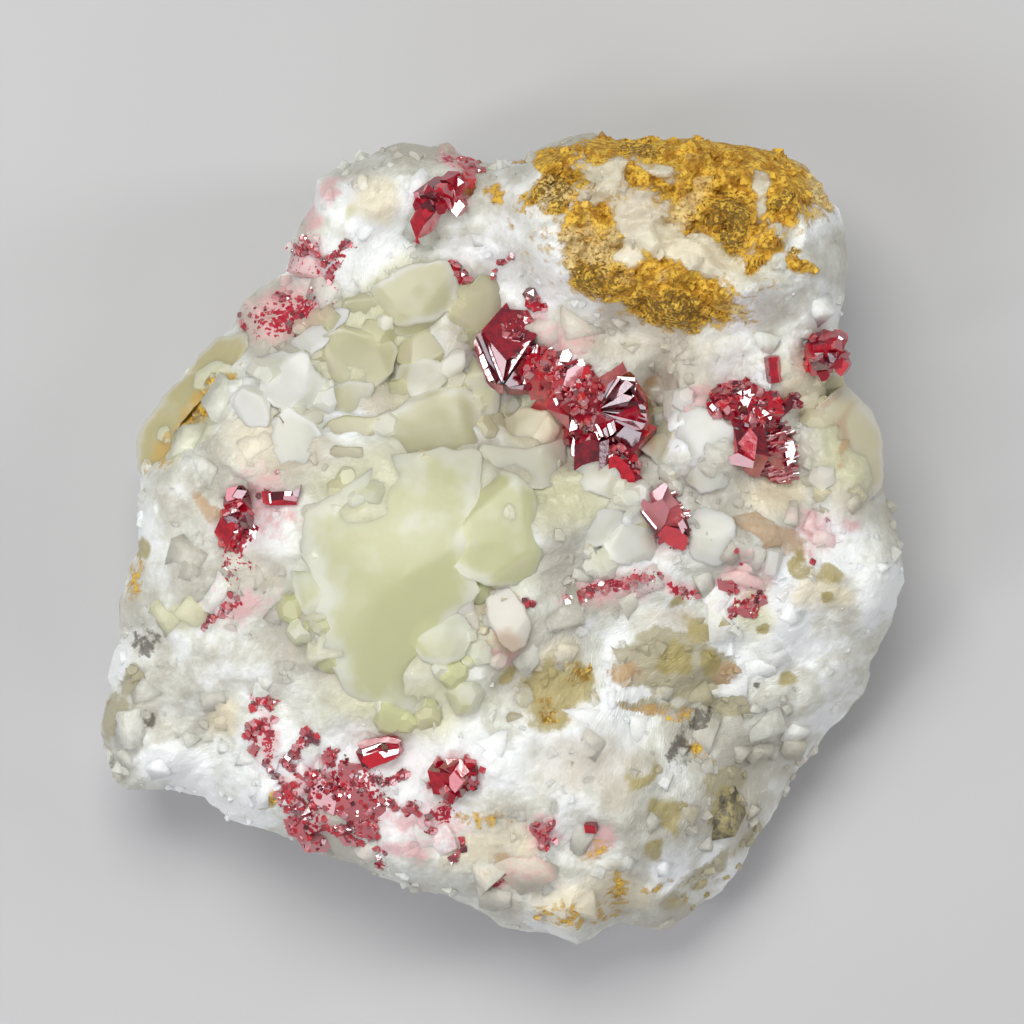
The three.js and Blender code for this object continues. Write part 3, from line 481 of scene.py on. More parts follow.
# %% [markdown]
# ## Fine relief of the open face
# The white rock is a mass of calcite crystals grown into each other, from the size of a pea down to sugar.
# It looks soft, because light runs under its surface, so its relief is low and its milkiness drifts like a
# cloud. In the vug and the cleaved middle it is smoother; the hump is crumbly, with wrinkled ledges. A
# sculpted mesh could show it as well, but a sum of crusts of three sizes can be read at any place, also
# where a grain has to sit on it.

# %% Relief of corners, crust and cleavage
CRADLES = [
    # rock that has grown up round the large calcites: middle, half sizes, turn, softness, height
    (-6.5, -1.5, 12, 12.5, 0, 0.5, 2.7), (-10.5, 15, 10, 9, 20, 0.35, 2.2), (8.5, 2, 6.5, 5, -10, 0.5, 1.2),
    (2.5, 10.2, 4.5, 2.6, 0, 0.5, 0.9), (30, 8, 4.5, 6.5, 10, 0.5, 1.4), (18.3, 7.5, 3.2, 3.6, 0, 0.6, 1.2),
    (18.2, 0.2, 3, 3, 0, 0.6, 1),
]
CLOUDS = (5.0, 91, 3)  # the milky clouds of the whole rock: their size in mm, seed, layers
RIM_CALM = 0.9  # within about that many mm of the rim the relief fades out
HUMP = (15, 27.6, 13.5, 8.2, -6, 0.2)  # where the hump is wrinkled: middle, half sizes, turn, softness
SMOOTH = (-7, -1.5, 10.5, 10.5, 0, 0.35)  # the cleaved middle
VUG = (-9, 15.5, 13, 9.5, 18, 0.4)  # the hollow
CORNERS = {
    # crusts of corners: their size in mm, seed, slope, spread
    "coarse": (4.4, 31, 0.3, 0.22),
    "middle": (2.0, 41, 0.4, 0.3),
    "small": (0.9, 51, 0.45, 0.35),
}


def bed_height(x, y):
    """The face without fine relief, with the rock that cradles the large calcites."""
    raised = sum(high * lump_share(x, y, *place) for *place, high in CRADLES)
    return plain_height(x, y) + raised * (1 - np.exp(-inside_rim(x, y) / RIM_CALM))


def hump_relief(x, y, crust):
    """Wrinkled ledges of the hump, 1 - 3 |drift| high, and crumbs that are higher where the crust lies."""
    ledges = 1 - 3 * np.abs(rough_drift(x + 0.5 * y, 1.7 * y - 0.3 * x, 4.6, 86, 3))
    grit = (0.5 + crust) * rough_drift(x, y, 1.6, 89, 3)
    return lump_share(x, y, *HUMP) * (0.55 * np.clip(ledges, -1, 1) + 0.3 * grit)


def rock_tones(x, y, warp_x, warp_y, snow_and_painted_light):
    """Milkiness from 0 to 1, mostly a soft cloud with a little of each block's own, and a share that is 1
    along block borders, where the finish paints a pale line as a highlight."""
    tone, over = packed_blocks(warp_x, warp_y, 3.8, 35)[1:]
    tone_fine, over_fine = packed_blocks(warp_x, warp_y, 1.7, 45)[1:]
    border = 0.6 * np.exp(-over / 0.05) + 0.25 * np.exp(-over_fine / 0.03)
    cloud = 0.5 + 0.45 * rough_drift(x, y, *CLOUDS) + 0.15 * rough_drift(x, y, 1.4, 95, 2)
    # The white patches raise the milkiness; on the right rim this is painted light, where the panels leave
    # the rim in shade.
    return 0.2 * tone + 0.08 * tone_fine + 0.72 * cloud + 0.2 * snow_and_painted_light, border


def fine_relief(x, y):
    """Relief in mm over the bed, the milkiness there, and a share that is 1 along the borders between blocks,
    where the finish paints a highlight: crusts of corners of three sizes, each weaker where the rock is
    smooth, drift, and crumbs in the crust, all faded out at the rim."""
    crust = crust_share(x, y)
    calm = 1 - lump_share(x, y, *SMOOTH)
    host = stain("host", x, y)
    snow_and_painted_light = stain("snow_and_painted_light", x, y)
    warp_x = x + 0.5 * rough_drift(x, y, 2.4, 61, 2)
    warp_y = y + 0.5 * rough_drift(x, y, 2.4, 64, 2)
    relief = 0.8 * (0.2 + 0.8 * calm) * crystal_corners(warp_x, warp_y, *CORNERS["coarse"])
    middle = 0.36 * (0.15 + 0.85 * calm) * (1 - 0.4 * snow_and_painted_light) * (1 - 0.3 * crust)
    relief = relief + middle * crystal_corners(warp_x, warp_y, *CORNERS["middle"])
    small = (0.1 + 0.5 * host) * (0.1 + 0.9 * calm) * (1 - 0.5 * lump_share(x, y, *VUG))
    relief = relief + small * crystal_corners(x, y, *CORNERS["small"])
    relief = relief + 0.16 * calm * rough_drift(x, y, 1.2, 66, 4)
    crumbs = rough_drift(x, y, 1.5, 71, 4) - 0.9 * np.abs(rough_drift(x, y, 2.1, 76, 2))
    relief = relief + 0.75 * crust * crumbs + 0.35 * host * np.maximum(drift(x, y, 1.1, 81), 0)
    relief = relief + hump_relief(x, y, crust)
    tone, border = rock_tones(x, y, warp_x, warp_y, snow_and_painted_light)
    border = border * (1 - crust) * (0.2 + 0.8 * calm)
    return relief * (1 - np.exp(-inside_rim(x, y) / RIM_CALM)), tone, np.clip(border, 0, 1)


def face_height(x, y):
    """Height of the finished open face."""
    return bed_height(x, y) + fine_relief(x, y)[0]


probe = fine_relief(*np.meshgrid(np.linspace(-20, 20, 90), np.linspace(-20, 20, 90)))[0]
print("fine relief from", round(float(probe.min()), 2), "to", round(float(probe.max()), 2), "mm")

# %% [markdown]
# ## From arrays to a mesh
# Every new piece comes out of numpy as a list of points in millimetres and a list of faces. Blender's own
# tools would add them one at a time, which is slow for a hundred thousand. One helper puts them into a mesh
# at once, and another notes on every point how strongly it is stained, so that rock, grains and crusts can
# share one finish and their colours run on from one piece to the next.

# %% Mesh builder and stain notes
def anticlockwise(corners):
    """The corners of an outline in the order that runs against the clock, seen from above."""
    flat = np.array(corners, float)
    after = np.roll(flat, -1, axis=0)
    clockwise = (flat[:, 0] * after[:, 1] - flat[:, 1] * after[:, 0]).sum() < 0
    return flat[::-1] if clockwise else flat


def put_mesh(name, points, faces):
    """A mesh object at the origin from points (n by 3, in mm) and faces (a list of arrays, each m by
    corners)."""
    mesh = bpy.data.meshes.new(name)
    mesh.vertices.add(len(points))
    mesh.vertices.foreach_set("co", np.ascontiguousarray(points * MM, np.float32).ravel())
    corners = np.concatenate([f.ravel() for f in faces]).astype(np.int32)
    sizes = np.concatenate([np.full(len(f), f.shape[1]) for f in faces])
    mesh.loops.add(len(corners))
    mesh.loops.foreach_set("vertex_index", corners)
    mesh.polygons.add(len(sizes))
    mesh.polygons.foreach_set("loop_start", (np.cumsum(sizes) - sizes).astype(np.int32))
    mesh.update(calc_edges=True)
    mesh.shade_flat()
    piece = bpy.data.objects.new(name, mesh)
    bpy.context.scene.collection.objects.link(piece)
    return piece


def note(piece, domain="POINT", **values):
    """One number per point, or per face, for each name, kept as attributes that the finish reads by
    name."""
    for name, numbers in values.items():
        layer = piece.data.attributes.new(name, "FLOAT", domain)
        layer.data.foreach_set("value", np.ascontiguousarray(numbers, np.float32))


def edged(share):
    """A stain's share, with -1 where there is none, so that fraying never carries it beyond its
    ellipses."""
    return np.where(share > 0.02, share, -1.0)


def note_stains(piece, x, y, strength=1.0):
    """All stains at the points' places, and the crust, as attributes; strength weakens them."""
    note(piece, crust=edged(strength * crust_share(x, y)))
    for kind in STAINS:
        if kind not in ("ochre", "bare", "snow_and_painted_light"):
            note(piece, **{kind: edged(strength * stain(kind, x, y))})


def seat(piece, slot, finish, *nodes):
    """The last step of each piece: its finish, the body it rides on and the solids it stands for, which are
    hidden. The slot is not used."""
    piece.data.materials.append(finish)
    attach(piece, "root")
    if nodes:
        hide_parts(*nodes)
    return piece


def triangles(piece):
    """How many triangles a piece has."""
    return sum(len(p.vertices) - 2 for p in piece.data.polygons)


# %% [markdown]
# ## Finishes: reading places and mixing colours
# A finish here is a small tree of nodes. It could read a pattern from an unwrapped mesh, but unwrapping
# needs seams, and a rock has no edge to hide them in. All finishes read the place in millimetres instead,
# so a speckle of half a millimetre stays one on every piece. The helpers below keep the trees short.

# %% Node helpers
def new_finish(name):
    """A material with its tree, its shader and the place in mm."""
    material = bpy.data.materials.new(name)
    material.use_nodes = True
    tree = material.node_tree
    shader = tree.nodes["Principled BSDF"]
    place = wire(tree, "ShaderNodeTexCoord").outputs["Object"]
    place = wire(tree, "ShaderNodeVectorMath", {0: place, "Scale": 1 / MM}, operation="SCALE").outputs[0]
    return material, tree, shader, place


def feed(tree, node, inputs):
    """Numbers, colours or other nodes' outputs for a node's inputs."""
    for key, value in inputs.items():
        if isinstance(value, bpy.types.NodeSocket):
            tree.links.new(value, node.inputs[key])
        else:
            node.inputs[key].default_value = value


def wire(tree, kind, inputs=(), **settings):
    """A new node: settings are its own options, inputs are numbers, colours or other nodes' outputs by
    socket."""
    node = tree.nodes.new(kind)
    for key, value in settings.items():
        setattr(node, key, value)
    feed(tree, node, dict(inputs))
    return node


def speckle(tree, place, per_mm, detail=3.0, rough=0.55):
    """Cloudy noise from 0 to 1 with that many clouds to a millimetre."""
    values = {"Vector": place, "Scale": per_mm, "Detail": detail, "Roughness": rough}
    return wire(tree, "ShaderNodeTexNoise", values).outputs["Fac"]


def sums(tree, operation, a, b):
    """One sum of two numbers or outputs."""
    return wire(tree, "ShaderNodeMath", {0: a, 1: b}, operation=operation).outputs[0]


def grown(tree, value, by, times):
    """value + by * times."""
    return wire(tree, "ShaderNodeMath", {0: by, 1: times, 2: value}, operation="MULTIPLY_ADD").outputs[0]


def band(tree, value, low, high, out_low=0.0, out_high=1.0):
    """Below low it is out_low, above high out_high, and it eases between."""
    inputs = {"Value": value, "From Min": low, "From Max": high, "To Min": out_low, "To Max": out_high}
    return wire(tree, "ShaderNodeMapRange", inputs, interpolation_type="SMOOTHSTEP").outputs["Result"]


def tint(tree, share, under, over):
    """One colour laid over another by a share from 0 to 1."""
    under = under if isinstance(under, bpy.types.NodeSocket) else (*under, 1)
    over = over if isinstance(over, bpy.types.NodeSocket) else (*over, 1)
    node = wire(tree, "ShaderNodeMix", {"Factor": share, 6: under, 7: over}, data_type="RGBA")
    return node.outputs[2]


def noted(tree, name):
    """The number that note() kept on the points."""
    return wire(tree, "ShaderNodeAttribute", attribute_name=name).outputs["Fac"]


def relief(tree, height, depth_mm, under=None, strength=1.0):
    """Bump from a height of 0 to 1 that stands for that many millimetres, on top of an earlier one."""
    inputs = {"Height": height, "Distance": depth_mm * MM, "Strength": strength}
    if under is not None:
        inputs["Normal"] = under
    return wire(tree, "ShaderNodeBump", inputs).outputs["Normal"]


print("node helpers ready")

# %% [markdown]
# ## The rock's finish
# White calcite and dolomite let light in a millimetre or two, which softens every shadow. A plain matt
# white would look like plaster, so the shader scatters light under the surface. Each block is a little
# milkier or clearer than the next. The stains are laid over that one by one. Where a stain begins and ends
# is frayed by noise, because iron and mercury solutions crept between grains.

# %% Finish of rock, druse and crust
CLEARER, MILKY, SNOWY = (0.52, 0.50, 0.42), (0.70, 0.71, 0.64), (0.90, 0.92, 0.91)
STAIN_COLOURS = [
    # stain, colour, fraying, where it begins and is full, how much it covers
    ("lemon", (0.66, 0.65, 0.42), 0.15, 0.12, 1.0, 0.85),
    ("cream", (0.80, 0.72, 0.52), 0.35, 0.2, 1.0, 0.8),
    ("smoke", (0.58, 0.52, 0.41), 0.4, 0.25, 1.1, 0.75),
    ("host", (0.41, 0.37, 0.23), 0.6, 0.28, 0.75, 0.88),
    ("rust_beige", (0.52, 0.34, 0.18), 0.8, 0.35, 0.95, 0.8),
    ("pink", (0.76, 0.42, 0.43), 0.8, 0.3, 1.15, 0.8),
    ("olive", (0.39, 0.32, 0.11), 0.7, 0.25, 0.9, 0.85),
    # dark patches of the rock, and painted shade under the hump's lip
    ("dark_patches_and_lip_shade", (0.12, 0.105, 0.08), 1.3, 0.45, 0.95, 0.9),
]


def rock_finish():
    """White blocks, the stains over them, red dust and crust, with scattering under the surface."""
    material, tree, shader, place = new_finish("carbonate_rock_finish")
    fray = speckle(tree, place, 0.9, 3, 0.66)
    fine = speckle(tree, place, 2.7, 1.5, 0.6)
    milk = grown(tree, noted(tree, "tone"), fray, 0.5)
    colour = tint(tree, band(tree, milk, 0.45, 0.85), CLEARER, MILKY)
    colour = tint(tree, band(tree, milk, 0.72, 1.0), colour, SNOWY)
    # Pale lines along the block borders are a painted highlight: the bright rim where light catches a
    # crystal's edge.
    painted_edge_highlight = sums(tree, "MULTIPLY", noted(tree, "border"), band(tree, fine, 0.45, 0.6, 0, 0.7))
    colour = tint(tree, painted_edge_highlight, colour, (0.93, 0.93, 0.9))
    fraying = sums(tree, "SUBTRACT", fray, 0.5)
    for kind, shade, frayed, begins, full, cover in STAIN_COLOURS:
        share = band(tree, grown(tree, noted(tree, kind), fraying, 2 * frayed), begins, full, 0, cover)
        colour = tint(tree, share, colour, shade)
    dusty = band(tree, grown(tree, fine, noted(tree, "dust"), 0.30), 0.68, 0.76)
    colour = tint(tree, dusty, colour, (0.46, 0.015, 0.04))
    rust = tint(tree, band(tree, fray, 0.42, 0.58), (0.50, 0.25, 0.02), (0.86, 0.55, 0.07))
    rust = tint(tree, band(tree, noted(tree, "tone"), 0.62, 0.85, 0, 0.75), rust, (0.82, 0.68, 0.36))
    specks = sums(tree, "SUBTRACT", fine, 0.5)
    mottled = grown(tree, noted(tree, "olive"), specks, 3.2)
    rust = tint(tree, band(tree, mottled, 0.72, 1.08, 0, 0.9), rust, (0.20, 0.13, 0.025))
    rust = tint(tree, band(tree, fine, 0.5, 0.68, 0, 0.8), rust, (0.26, 0.13, 0.015))
    thick = grown(tree, noted(tree, "crust"), fraying, 1.9)
    crusted = band(tree, thick, 0.14, 0.6)
    rust = tint(tree, band(tree, thick, 0.3, 0.7, 0.65, 0), rust, (0.36, 0.21, 0.04))
    colour = tint(tree, crusted, colour, rust)
    shader.subsurface_method = "BURLEY"
    feed(tree, shader, {
        "Base Color": colour, "Roughness": band(tree, crusted, 0, 1, 0.42, 0.85),
        "Subsurface Weight": band(tree, crusted, 0, 1, 0.5, 0.0), "Subsurface Radius": (1.0, 0.97, 0.8),
        "Subsurface Scale": 1.3 * MM, "IOR": 1.5,
        "Normal": relief(tree, speckle(tree, place, 1.6, 2), 0.14),
    })
    return material


rock_look = rock_finish()
print("rock finish nodes:", len(rock_look.node_tree.nodes))

# %% [markdown]
# ## The rock as one closed shell
# The rock has an open face, a broken flank and a flat back. A ball pushed into shape would have its points
# crowded at the poles. Instead the open face is a grid that is carried from a square onto the outlined
# disc, so its outermost square becomes the outline. From there, rings go down the flank and in towards the
# back. The flank is pushed in and out with block crusts that close on themselves after one turn.

# %% Rock shell
TOP_CELLS = 280
FLANK_STEPS = 17
BASE_SHARE = 0.88
BASE_CURVE = 1.6
FLANK_CELLS = 44  # blocks round the flank
FLANK_BLOCK = 5.0  # their size in mm; the finer ones are half of it
BULGE_LIMITS = (-1.8, 0.8)
TEETH = 96  # round the outline
TOOTH_REACH = 0.6
RIM_CROWDING = 1.12  # over 1, the grid's rings lie closer together towards the rim
TEETH_FADE = 10  # the higher this power, the closer to the rim the teeth begin


def square_to_disc(u, v):
    """Direction and share of the radius for a place in the square from -1 to 1: each square round the
    middle becomes a circle, with its corners at the odd eighths of a turn, and the share is 1 - (1 - reach)
    ^ crowding."""
    reach = np.maximum(np.abs(u), np.abs(v))
    wide = np.abs(u) > np.abs(v)
    with np.errstate(divide="ignore", invalid="ignore"):
        eighth = np.nan_to_num(np.where(wide, v / u, u / v)) * math.pi / 4
    angle = np.where(wide, eighth + math.pi * (u < 0), math.pi / 2 - eighth + math.pi * (v < 0))
    return angle % (2 * math.pi), 1 - (1 - reach) ** RIM_CROWDING


def ragged_outline(angle):
    """The outline with small teeth: corners of about 2 mm along the arc, round the full turn."""
    arc = angle / (2 * math.pi)
    teeth = crystal_corners(arc * TEETH, np.zeros(np.shape(arc)), 1.0, 91, 0.9, 0.5, wrap=TEETH)
    return outline_radius(angle) + TOOTH_REACH * teeth - 0.05


def rim_walk(cells):
    """The grid points along the outermost square, once round."""
    last = cells
    i = np.concatenate([np.full(last, last), np.arange(last, 0, -1), np.zeros(last, int), np.arange(last)])
    j = np.concatenate([np.arange(last), np.full(last, last), np.arange(last, 0, -1), np.zeros(last, int)])
    return i * (last + 1) + j


def flank_rings(rim):
    """Rings from the rim down and in to the back: the outline shrinks by (1 - share) * down^curve, and
    block crusts push each ring in or out, least at its two ends."""
    turn = np.arctan2(rim[:, 1], rim[:, 0]) / (2 * math.pi) % 1
    down = np.linspace(0, 1, FLANK_STEPS + 1)[1:, None]
    level = rim[:, 2] * (1 - down)
    arc = turn * FLANK_CELLS * FLANK_BLOCK * np.ones_like(down)
    bulge, tone, over = packed_blocks(arc, level, FLANK_BLOCK, 101, 0.3, 0.35, wrap=FLANK_CELLS)
    finer, tone_finer, over_finer = packed_blocks(arc, level, FLANK_BLOCK / 2, 121, 0.35, 0.35,
                                                  wrap=2 * FLANK_CELLS)
    bulge = 0.9 * bulge + 0.7 * finer + 0.3 * drift(arc, level, 1.2, 141)
    bulge = (bulge - np.median(bulge)) * np.sin(math.pi * np.clip(down, 0, 1)) ** 0.5
    grow = 1 - (1 - BASE_SHARE) * down**BASE_CURVE
    grow = grow + np.clip(bulge, *BULGE_LIMITS) / np.hypot(rim[:, 0], rim[:, 1])
    # Block borders on the flank, where the finish paints pale lines as a highlight.
    border = np.clip(np.exp(-over / 0.12) + np.exp(-over_finer / 0.06), 0, 1)
    places = np.stack([rim[:, 0] * grow, rim[:, 1] * grow, level], -1)
    deep = rim[:, 2] - level
    cloud = 0.5 + 0.45 * rough_drift(places[..., 0] + 0.8 * deep, places[..., 1] - 0.6 * deep, *CLOUDS)
    tone = 0.2 * tone + 0.12 * tone_finer + 0.68 * cloud
    return places.reshape(-1, 3), tone.ravel(), 0.6 * border.ravel()


def rock_shell():
    """Points, faces, tones and block borders of the closed shell, where the finish paints a highlight: top
    grid, flank rings, flat back.
    """
    line = np.linspace(-1, 1, TOP_CELLS + 1)
    u, v = np.meshgrid(line, line, indexing="ij")
    angle, share = square_to_disc(u, v)
    teeth = ragged_outline(angle) - outline_radius(angle)
    radius = share * (outline_radius(angle) + share**TEETH_FADE * teeth)
    x, y = radius * np.cos(angle), radius * np.sin(angle)
    lift, tone, border = fine_relief(x, y)
    top = np.stack([x, y, bed_height(x, y) + lift], -1).reshape(-1, 3)
    walk = rim_walk(TOP_CELLS)
    flank, flank_tone, flank_border = flank_rings(top[walk])
    points = np.concatenate([top, flank, [[0, 0, 0]]])
    grid = np.arange((TOP_CELLS + 1) ** 2).reshape(TOP_CELLS + 1, -1)
    quads = np.stack([grid[:-1, :-1], grid[1:, :-1], grid[1:, 1:], grid[:-1, 1:]], -1).reshape(-1, 4)
    rings = np.concatenate([walk[None], len(top) + np.arange(len(flank)).reshape(FLANK_STEPS, -1)])
    after = np.roll(rings, -1, axis=1)
    sides = np.stack([rings[:-1], rings[1:], after[1:], after[:-1]], -1).reshape(-1, 4)
    back = np.stack([rings[-1], np.full(len(walk), len(points) - 1), after[-1]], -1)
    tones = np.concatenate([tone.ravel(), flank_tone, [0.5]])
    return points, [quads, sides, back], tones, np.concatenate([border.ravel(), flank_border, [0]])


def signed_volume(points, faces):
    """Volume that the faces enclose, positive when they point outwards: the sum of the tetrahedra to the
    origin."""
    total = 0.0
    for f in faces:
        for k in range(1, f.shape[1] - 1):
            a, b, c = points[f[:, 0]], points[f[:, k]], points[f[:, k + 1]]
            total += float(np.einsum("ij,ij->i", a, np.cross(b, c)).sum()) / 6
    return total


STAIN_DEPTH = (5, 16)  # levels in mm between which the stains fade down the flank
shell_points, shell_faces, shell_tone, shell_border = rock_shell()
rock = put_mesh("rock_shell", shell_points, shell_faces)
shell_x, shell_y, shell_z = shell_points.T
ragged_level = shell_z + 2 * rough_drift(shell_x + shell_y, shell_z, 3.0, 95, 3)
note_stains(rock, shell_x, shell_y, fade(ragged_level, *STAIN_DEPTH))
note(rock, tone=shell_tone, border=shell_border)
seat(rock, "carbonate_rock", rock_look, "matrix")
print("rock triangles:", triangles(rock))
print("rock in cubic cm:", round(signed_volume(shell_points, shell_faces) / 1000, 1))

# %% [markdown]
# ## Forms of crystal
# A crystal is the space inside its faces, and a species repeats the same few directions of face: calcite
# and cinnabar have threes of faces round one long axis. They could be modelled one by one, but a form
# written as a short list of face directions and distances gives any size and turn of it. A stretched
# crystal keeps its form when each face's direction is divided by the half sizes.

# %% Faces of a crystal form
def leaning(lean, heading):
    """A face normal that leans that many degrees from the long axis, towards a heading."""
    a, b = math.radians(lean), math.radians(heading)
    return [math.sin(a) * math.cos(b), math.sin(a) * math.sin(b), math.cos(a)]


THREE, SIX = (0, 120, 240), (0, 60, 120, 180, 240, 300)
FORMS = {
    # each face: its normal and its distance from the middle, as a share of the half size
    "rhomb": [(leaning(52, 90 + h), 1) for h in THREE] + [(leaning(128, 30 + h), 1) for h in THREE],
    "grain": [(leaning(52, 90 + h), 1) for h in THREE] + [(leaning(128, 30 + h), 1) for h in THREE]
    + [((0, 0, 1), 1.12), ((0, 0, -1), 1.12)],
    "cobble": [(leaning(90, h), 1) for h in SIX] + [((0, 0, 1), 1), ((0, 0, -1), 1)]
    + [(leaning(50, h), 1.02) for h in THREE] + [(leaning(38, 60 + h), 1.1) for h in THREE]
    + [(leaning(130, 60 + h), 1.02) for h in THREE] + [(leaning(142, h), 1.1) for h in THREE],
    "prism": [(leaning(90, h), 1) for h in SIX] + [((0, 0, 1), 1), ((0, 0, -1), 1)],
    "blunt": [(leaning(90, h), 1) for h in SIX] + [((0, 0, 1), 1), ((0, 0, -1), 1)]
    + [(leaning(42, h), 1.12) for h in THREE] + [(leaning(138, 60 + h), 1.12) for h in THREE],
}


def turned(heading, tilt, spin):
    """The turn of a crystal: by spin about its long axis, then tilted towards x, then by heading about
    z."""
    h, t, s = (math.radians(v) for v in (heading, tilt, spin))
    about_z = lambda a: np.array([[math.cos(a), -math.sin(a), 0], [math.sin(a), math.cos(a), 0], [0, 0, 1]])
    about_y = np.array([[math.cos(t), 0, math.sin(t)], [0, 1, 0], [-math.sin(t), 0, math.cos(t)]])
    return about_z(h) @ about_y @ about_z(s)


def face_planes(form, half, turn):
    """World normals and distances of a form's faces for those half sizes: the normals are stretched the
    other way."""
    normals = np.array([n for n, _ in FORMS[form]]) / half
    length = np.linalg.norm(normals, axis=1)
    return (turn @ (normals / length[:, None]).T).T, np.array([d for _, d in FORMS[form]]) / length


print("crystal forms:", {name: len(faces) for name, faces in FORMS.items()})

# %% [markdown]
# ## Crystals cut from flat faces
# A crystal's corners are where three of its faces meet. Blender could cut a cube with one plane after
# another, which is slow for thousands of crystals. Solving all trios of planes at once and keeping the points
# that lie inside every other plane gives the same corners in one step. Flakes are listed one by one: each is
# one flat face with upright sides, leaned so that it mirrors one of the panels into the camera.

# %% Crystals cut from flat faces
def joined(parts):
    """Several (points, faces) as one."""
    starts = np.cumsum([0] + [len(p) for p, _ in parts[:-1]])
    points = np.concatenate([p for p, _ in parts])
    return points, [f + s for (_, faces), s in zip(parts, starts) for f in faces]


def cut_crystal(form, half, turn):
    """Corners and faces of a form. Every three face planes meet in a point, and the points inside all other
    planes are the corners; each face takes its own corners in their order round its normal."""
    normals, distances = face_planes(form, half, turn)
    trios = np.array(list(itertools.combinations(range(len(normals)), 3)))
    trios = trios[np.abs(np.linalg.det(normals[trios])) > 1e-4]
    spots = np.linalg.solve(normals[trios], distances[trios][..., None])[..., 0]
    spots = spots[(spots @ normals.T <= distances + 1e-6).all(1)]
    corners = np.unique(np.round(spots, 5), axis=0)
    faces = []
    for normal, distance in zip(normals, distances):
        own = np.flatnonzero(np.abs(corners @ normal - distance) < 1e-4)
        if len(own) > 2:
            side = np.cross(normal, (0.36, 0.48, 0.8))
            arm = corners[own] - corners[own].mean(0)
            faces.append(own[np.argsort(np.arctan2(arm @ np.cross(normal, side), arm @ side))][None])
    return corners, faces


def cut_row(form, x, y, lift, a, b, c, heading, tilt, spin):
    """A cut crystal whose middle stands lift over the rock at (x, y)."""
    corners, faces = cut_crystal(form, np.array([a, b, c]), turned(heading, tilt, spin))
    return corners + (x, y, float(plain_height(x, y)) + lift), faces


def lean_towards(panel):
    """Tilt and heading in degrees of a face that mirrors a panel into the camera: halfway between the
    two."""
    way = np.array([row[1] for row in LIGHTS if row[0] == panel][0], float) - (0, 0, FACE_LEVEL)
    half = way / np.linalg.norm(way) + (0, 0, 1)
    tilt = math.atan2(math.hypot(half[0], half[1]), half[2])
    return math.degrees(tilt), math.degrees(math.atan2(half[1], half[0]))


def flake(lift, lean, corners, depth=1.8):
    """A slab with upright sides and a flat top that leans: z = bed + lift - tan(tilt) * way along the
    heading."""
    flat = anticlockwise(corners)
    tilt, heading = (math.radians(v) for v in (lean_towards(lean) if isinstance(lean, str) else lean))
    middle = flat.mean(0)
    run = (flat - middle) @ (math.cos(heading), math.sin(heading))
    top = float(bed_height(*middle)) + lift - math.tan(tilt) * run
    count = len(flat)
    floor = np.full(count, top.min() - depth)
    points = np.concatenate([np.column_stack([flat, top]), np.column_stack([flat, floor])])
    i = np.arange(count)
    j = (i + 1) % count
    return points, [i[None], (count + i)[::-1][None], np.stack([i, count + i, count + j, j], 1)]


print("a flake that mirrors the left panel leans", [round(v) for v in lean_towards("panel_left")])

# %% [markdown]
# ## Strewing small crystals
# Small crystals cover rock and large crystals by the hundred. Particles or instances would scatter them
# too, but they don't end up in the mesh. Here one cut crystal is copied to all places at once: an array of
# turns, an array of sizes and one product of the two with the crystal's corners.

# %% Strewing small crystals
def number_rows(count, seed, rows):
    """Rows of numbers from 0 to 1, one for each of count things."""
    return np.stack([cell_number(np.arange(count), np.full(count, k), seed) for k in range(rows)])


def turns(a, b, c):
    """Rotation matrices for arrays of angles about z, y and z again."""
    def about(axis, angle):
        m = np.zeros((len(angle), 3, 3))
        i, j = ((0, 1), (2, 0))[axis]
        m[:, 3 - i - j, 3 - i - j] = 1
        m[:, i, i] = m[:, j, j] = np.cos(angle)
        m[:, j, i], m[:, i, j] = np.sin(angle), -np.sin(angle)
        return m
    return about(0, a) @ about(1, b) @ about(0, c)


def strewn(points, faces, count, seed):
    """Places on the faces that look up, evenly by area: a triangle is picked by its share of the area and a
    place in it by (1 - sqrt(s)) a + sqrt(s) (1 - t) b + sqrt(s) t c."""
    fans = np.concatenate([f[:, [0, k, k + 1]] for f in faces for k in range(1, f.shape[1] - 1)])
    a, b, c = points[fans[:, 0]], points[fans[:, 1]], points[fans[:, 2]]
    across = np.cross(b - a, c - a)
    area = np.linalg.norm(across, axis=1) * (across[:, 2] > 0)
    pick, s, t = number_rows(count, seed, 3)
    own = np.searchsorted(np.cumsum(area) / area.sum(), pick).clip(max=len(area) - 1)
    s = np.sqrt(s)[:, None]
    return (1 - s) * a[own] + s * (1 - t[:, None]) * b[own] + s * t[:, None] * c[own]


SWING, TIP = 0.35, 0.3  # how widely, in radians, crystals along a heading turn from it and from flat
MOSTLY_SMALL = 1.6  # over 1, small sizes are more frequent


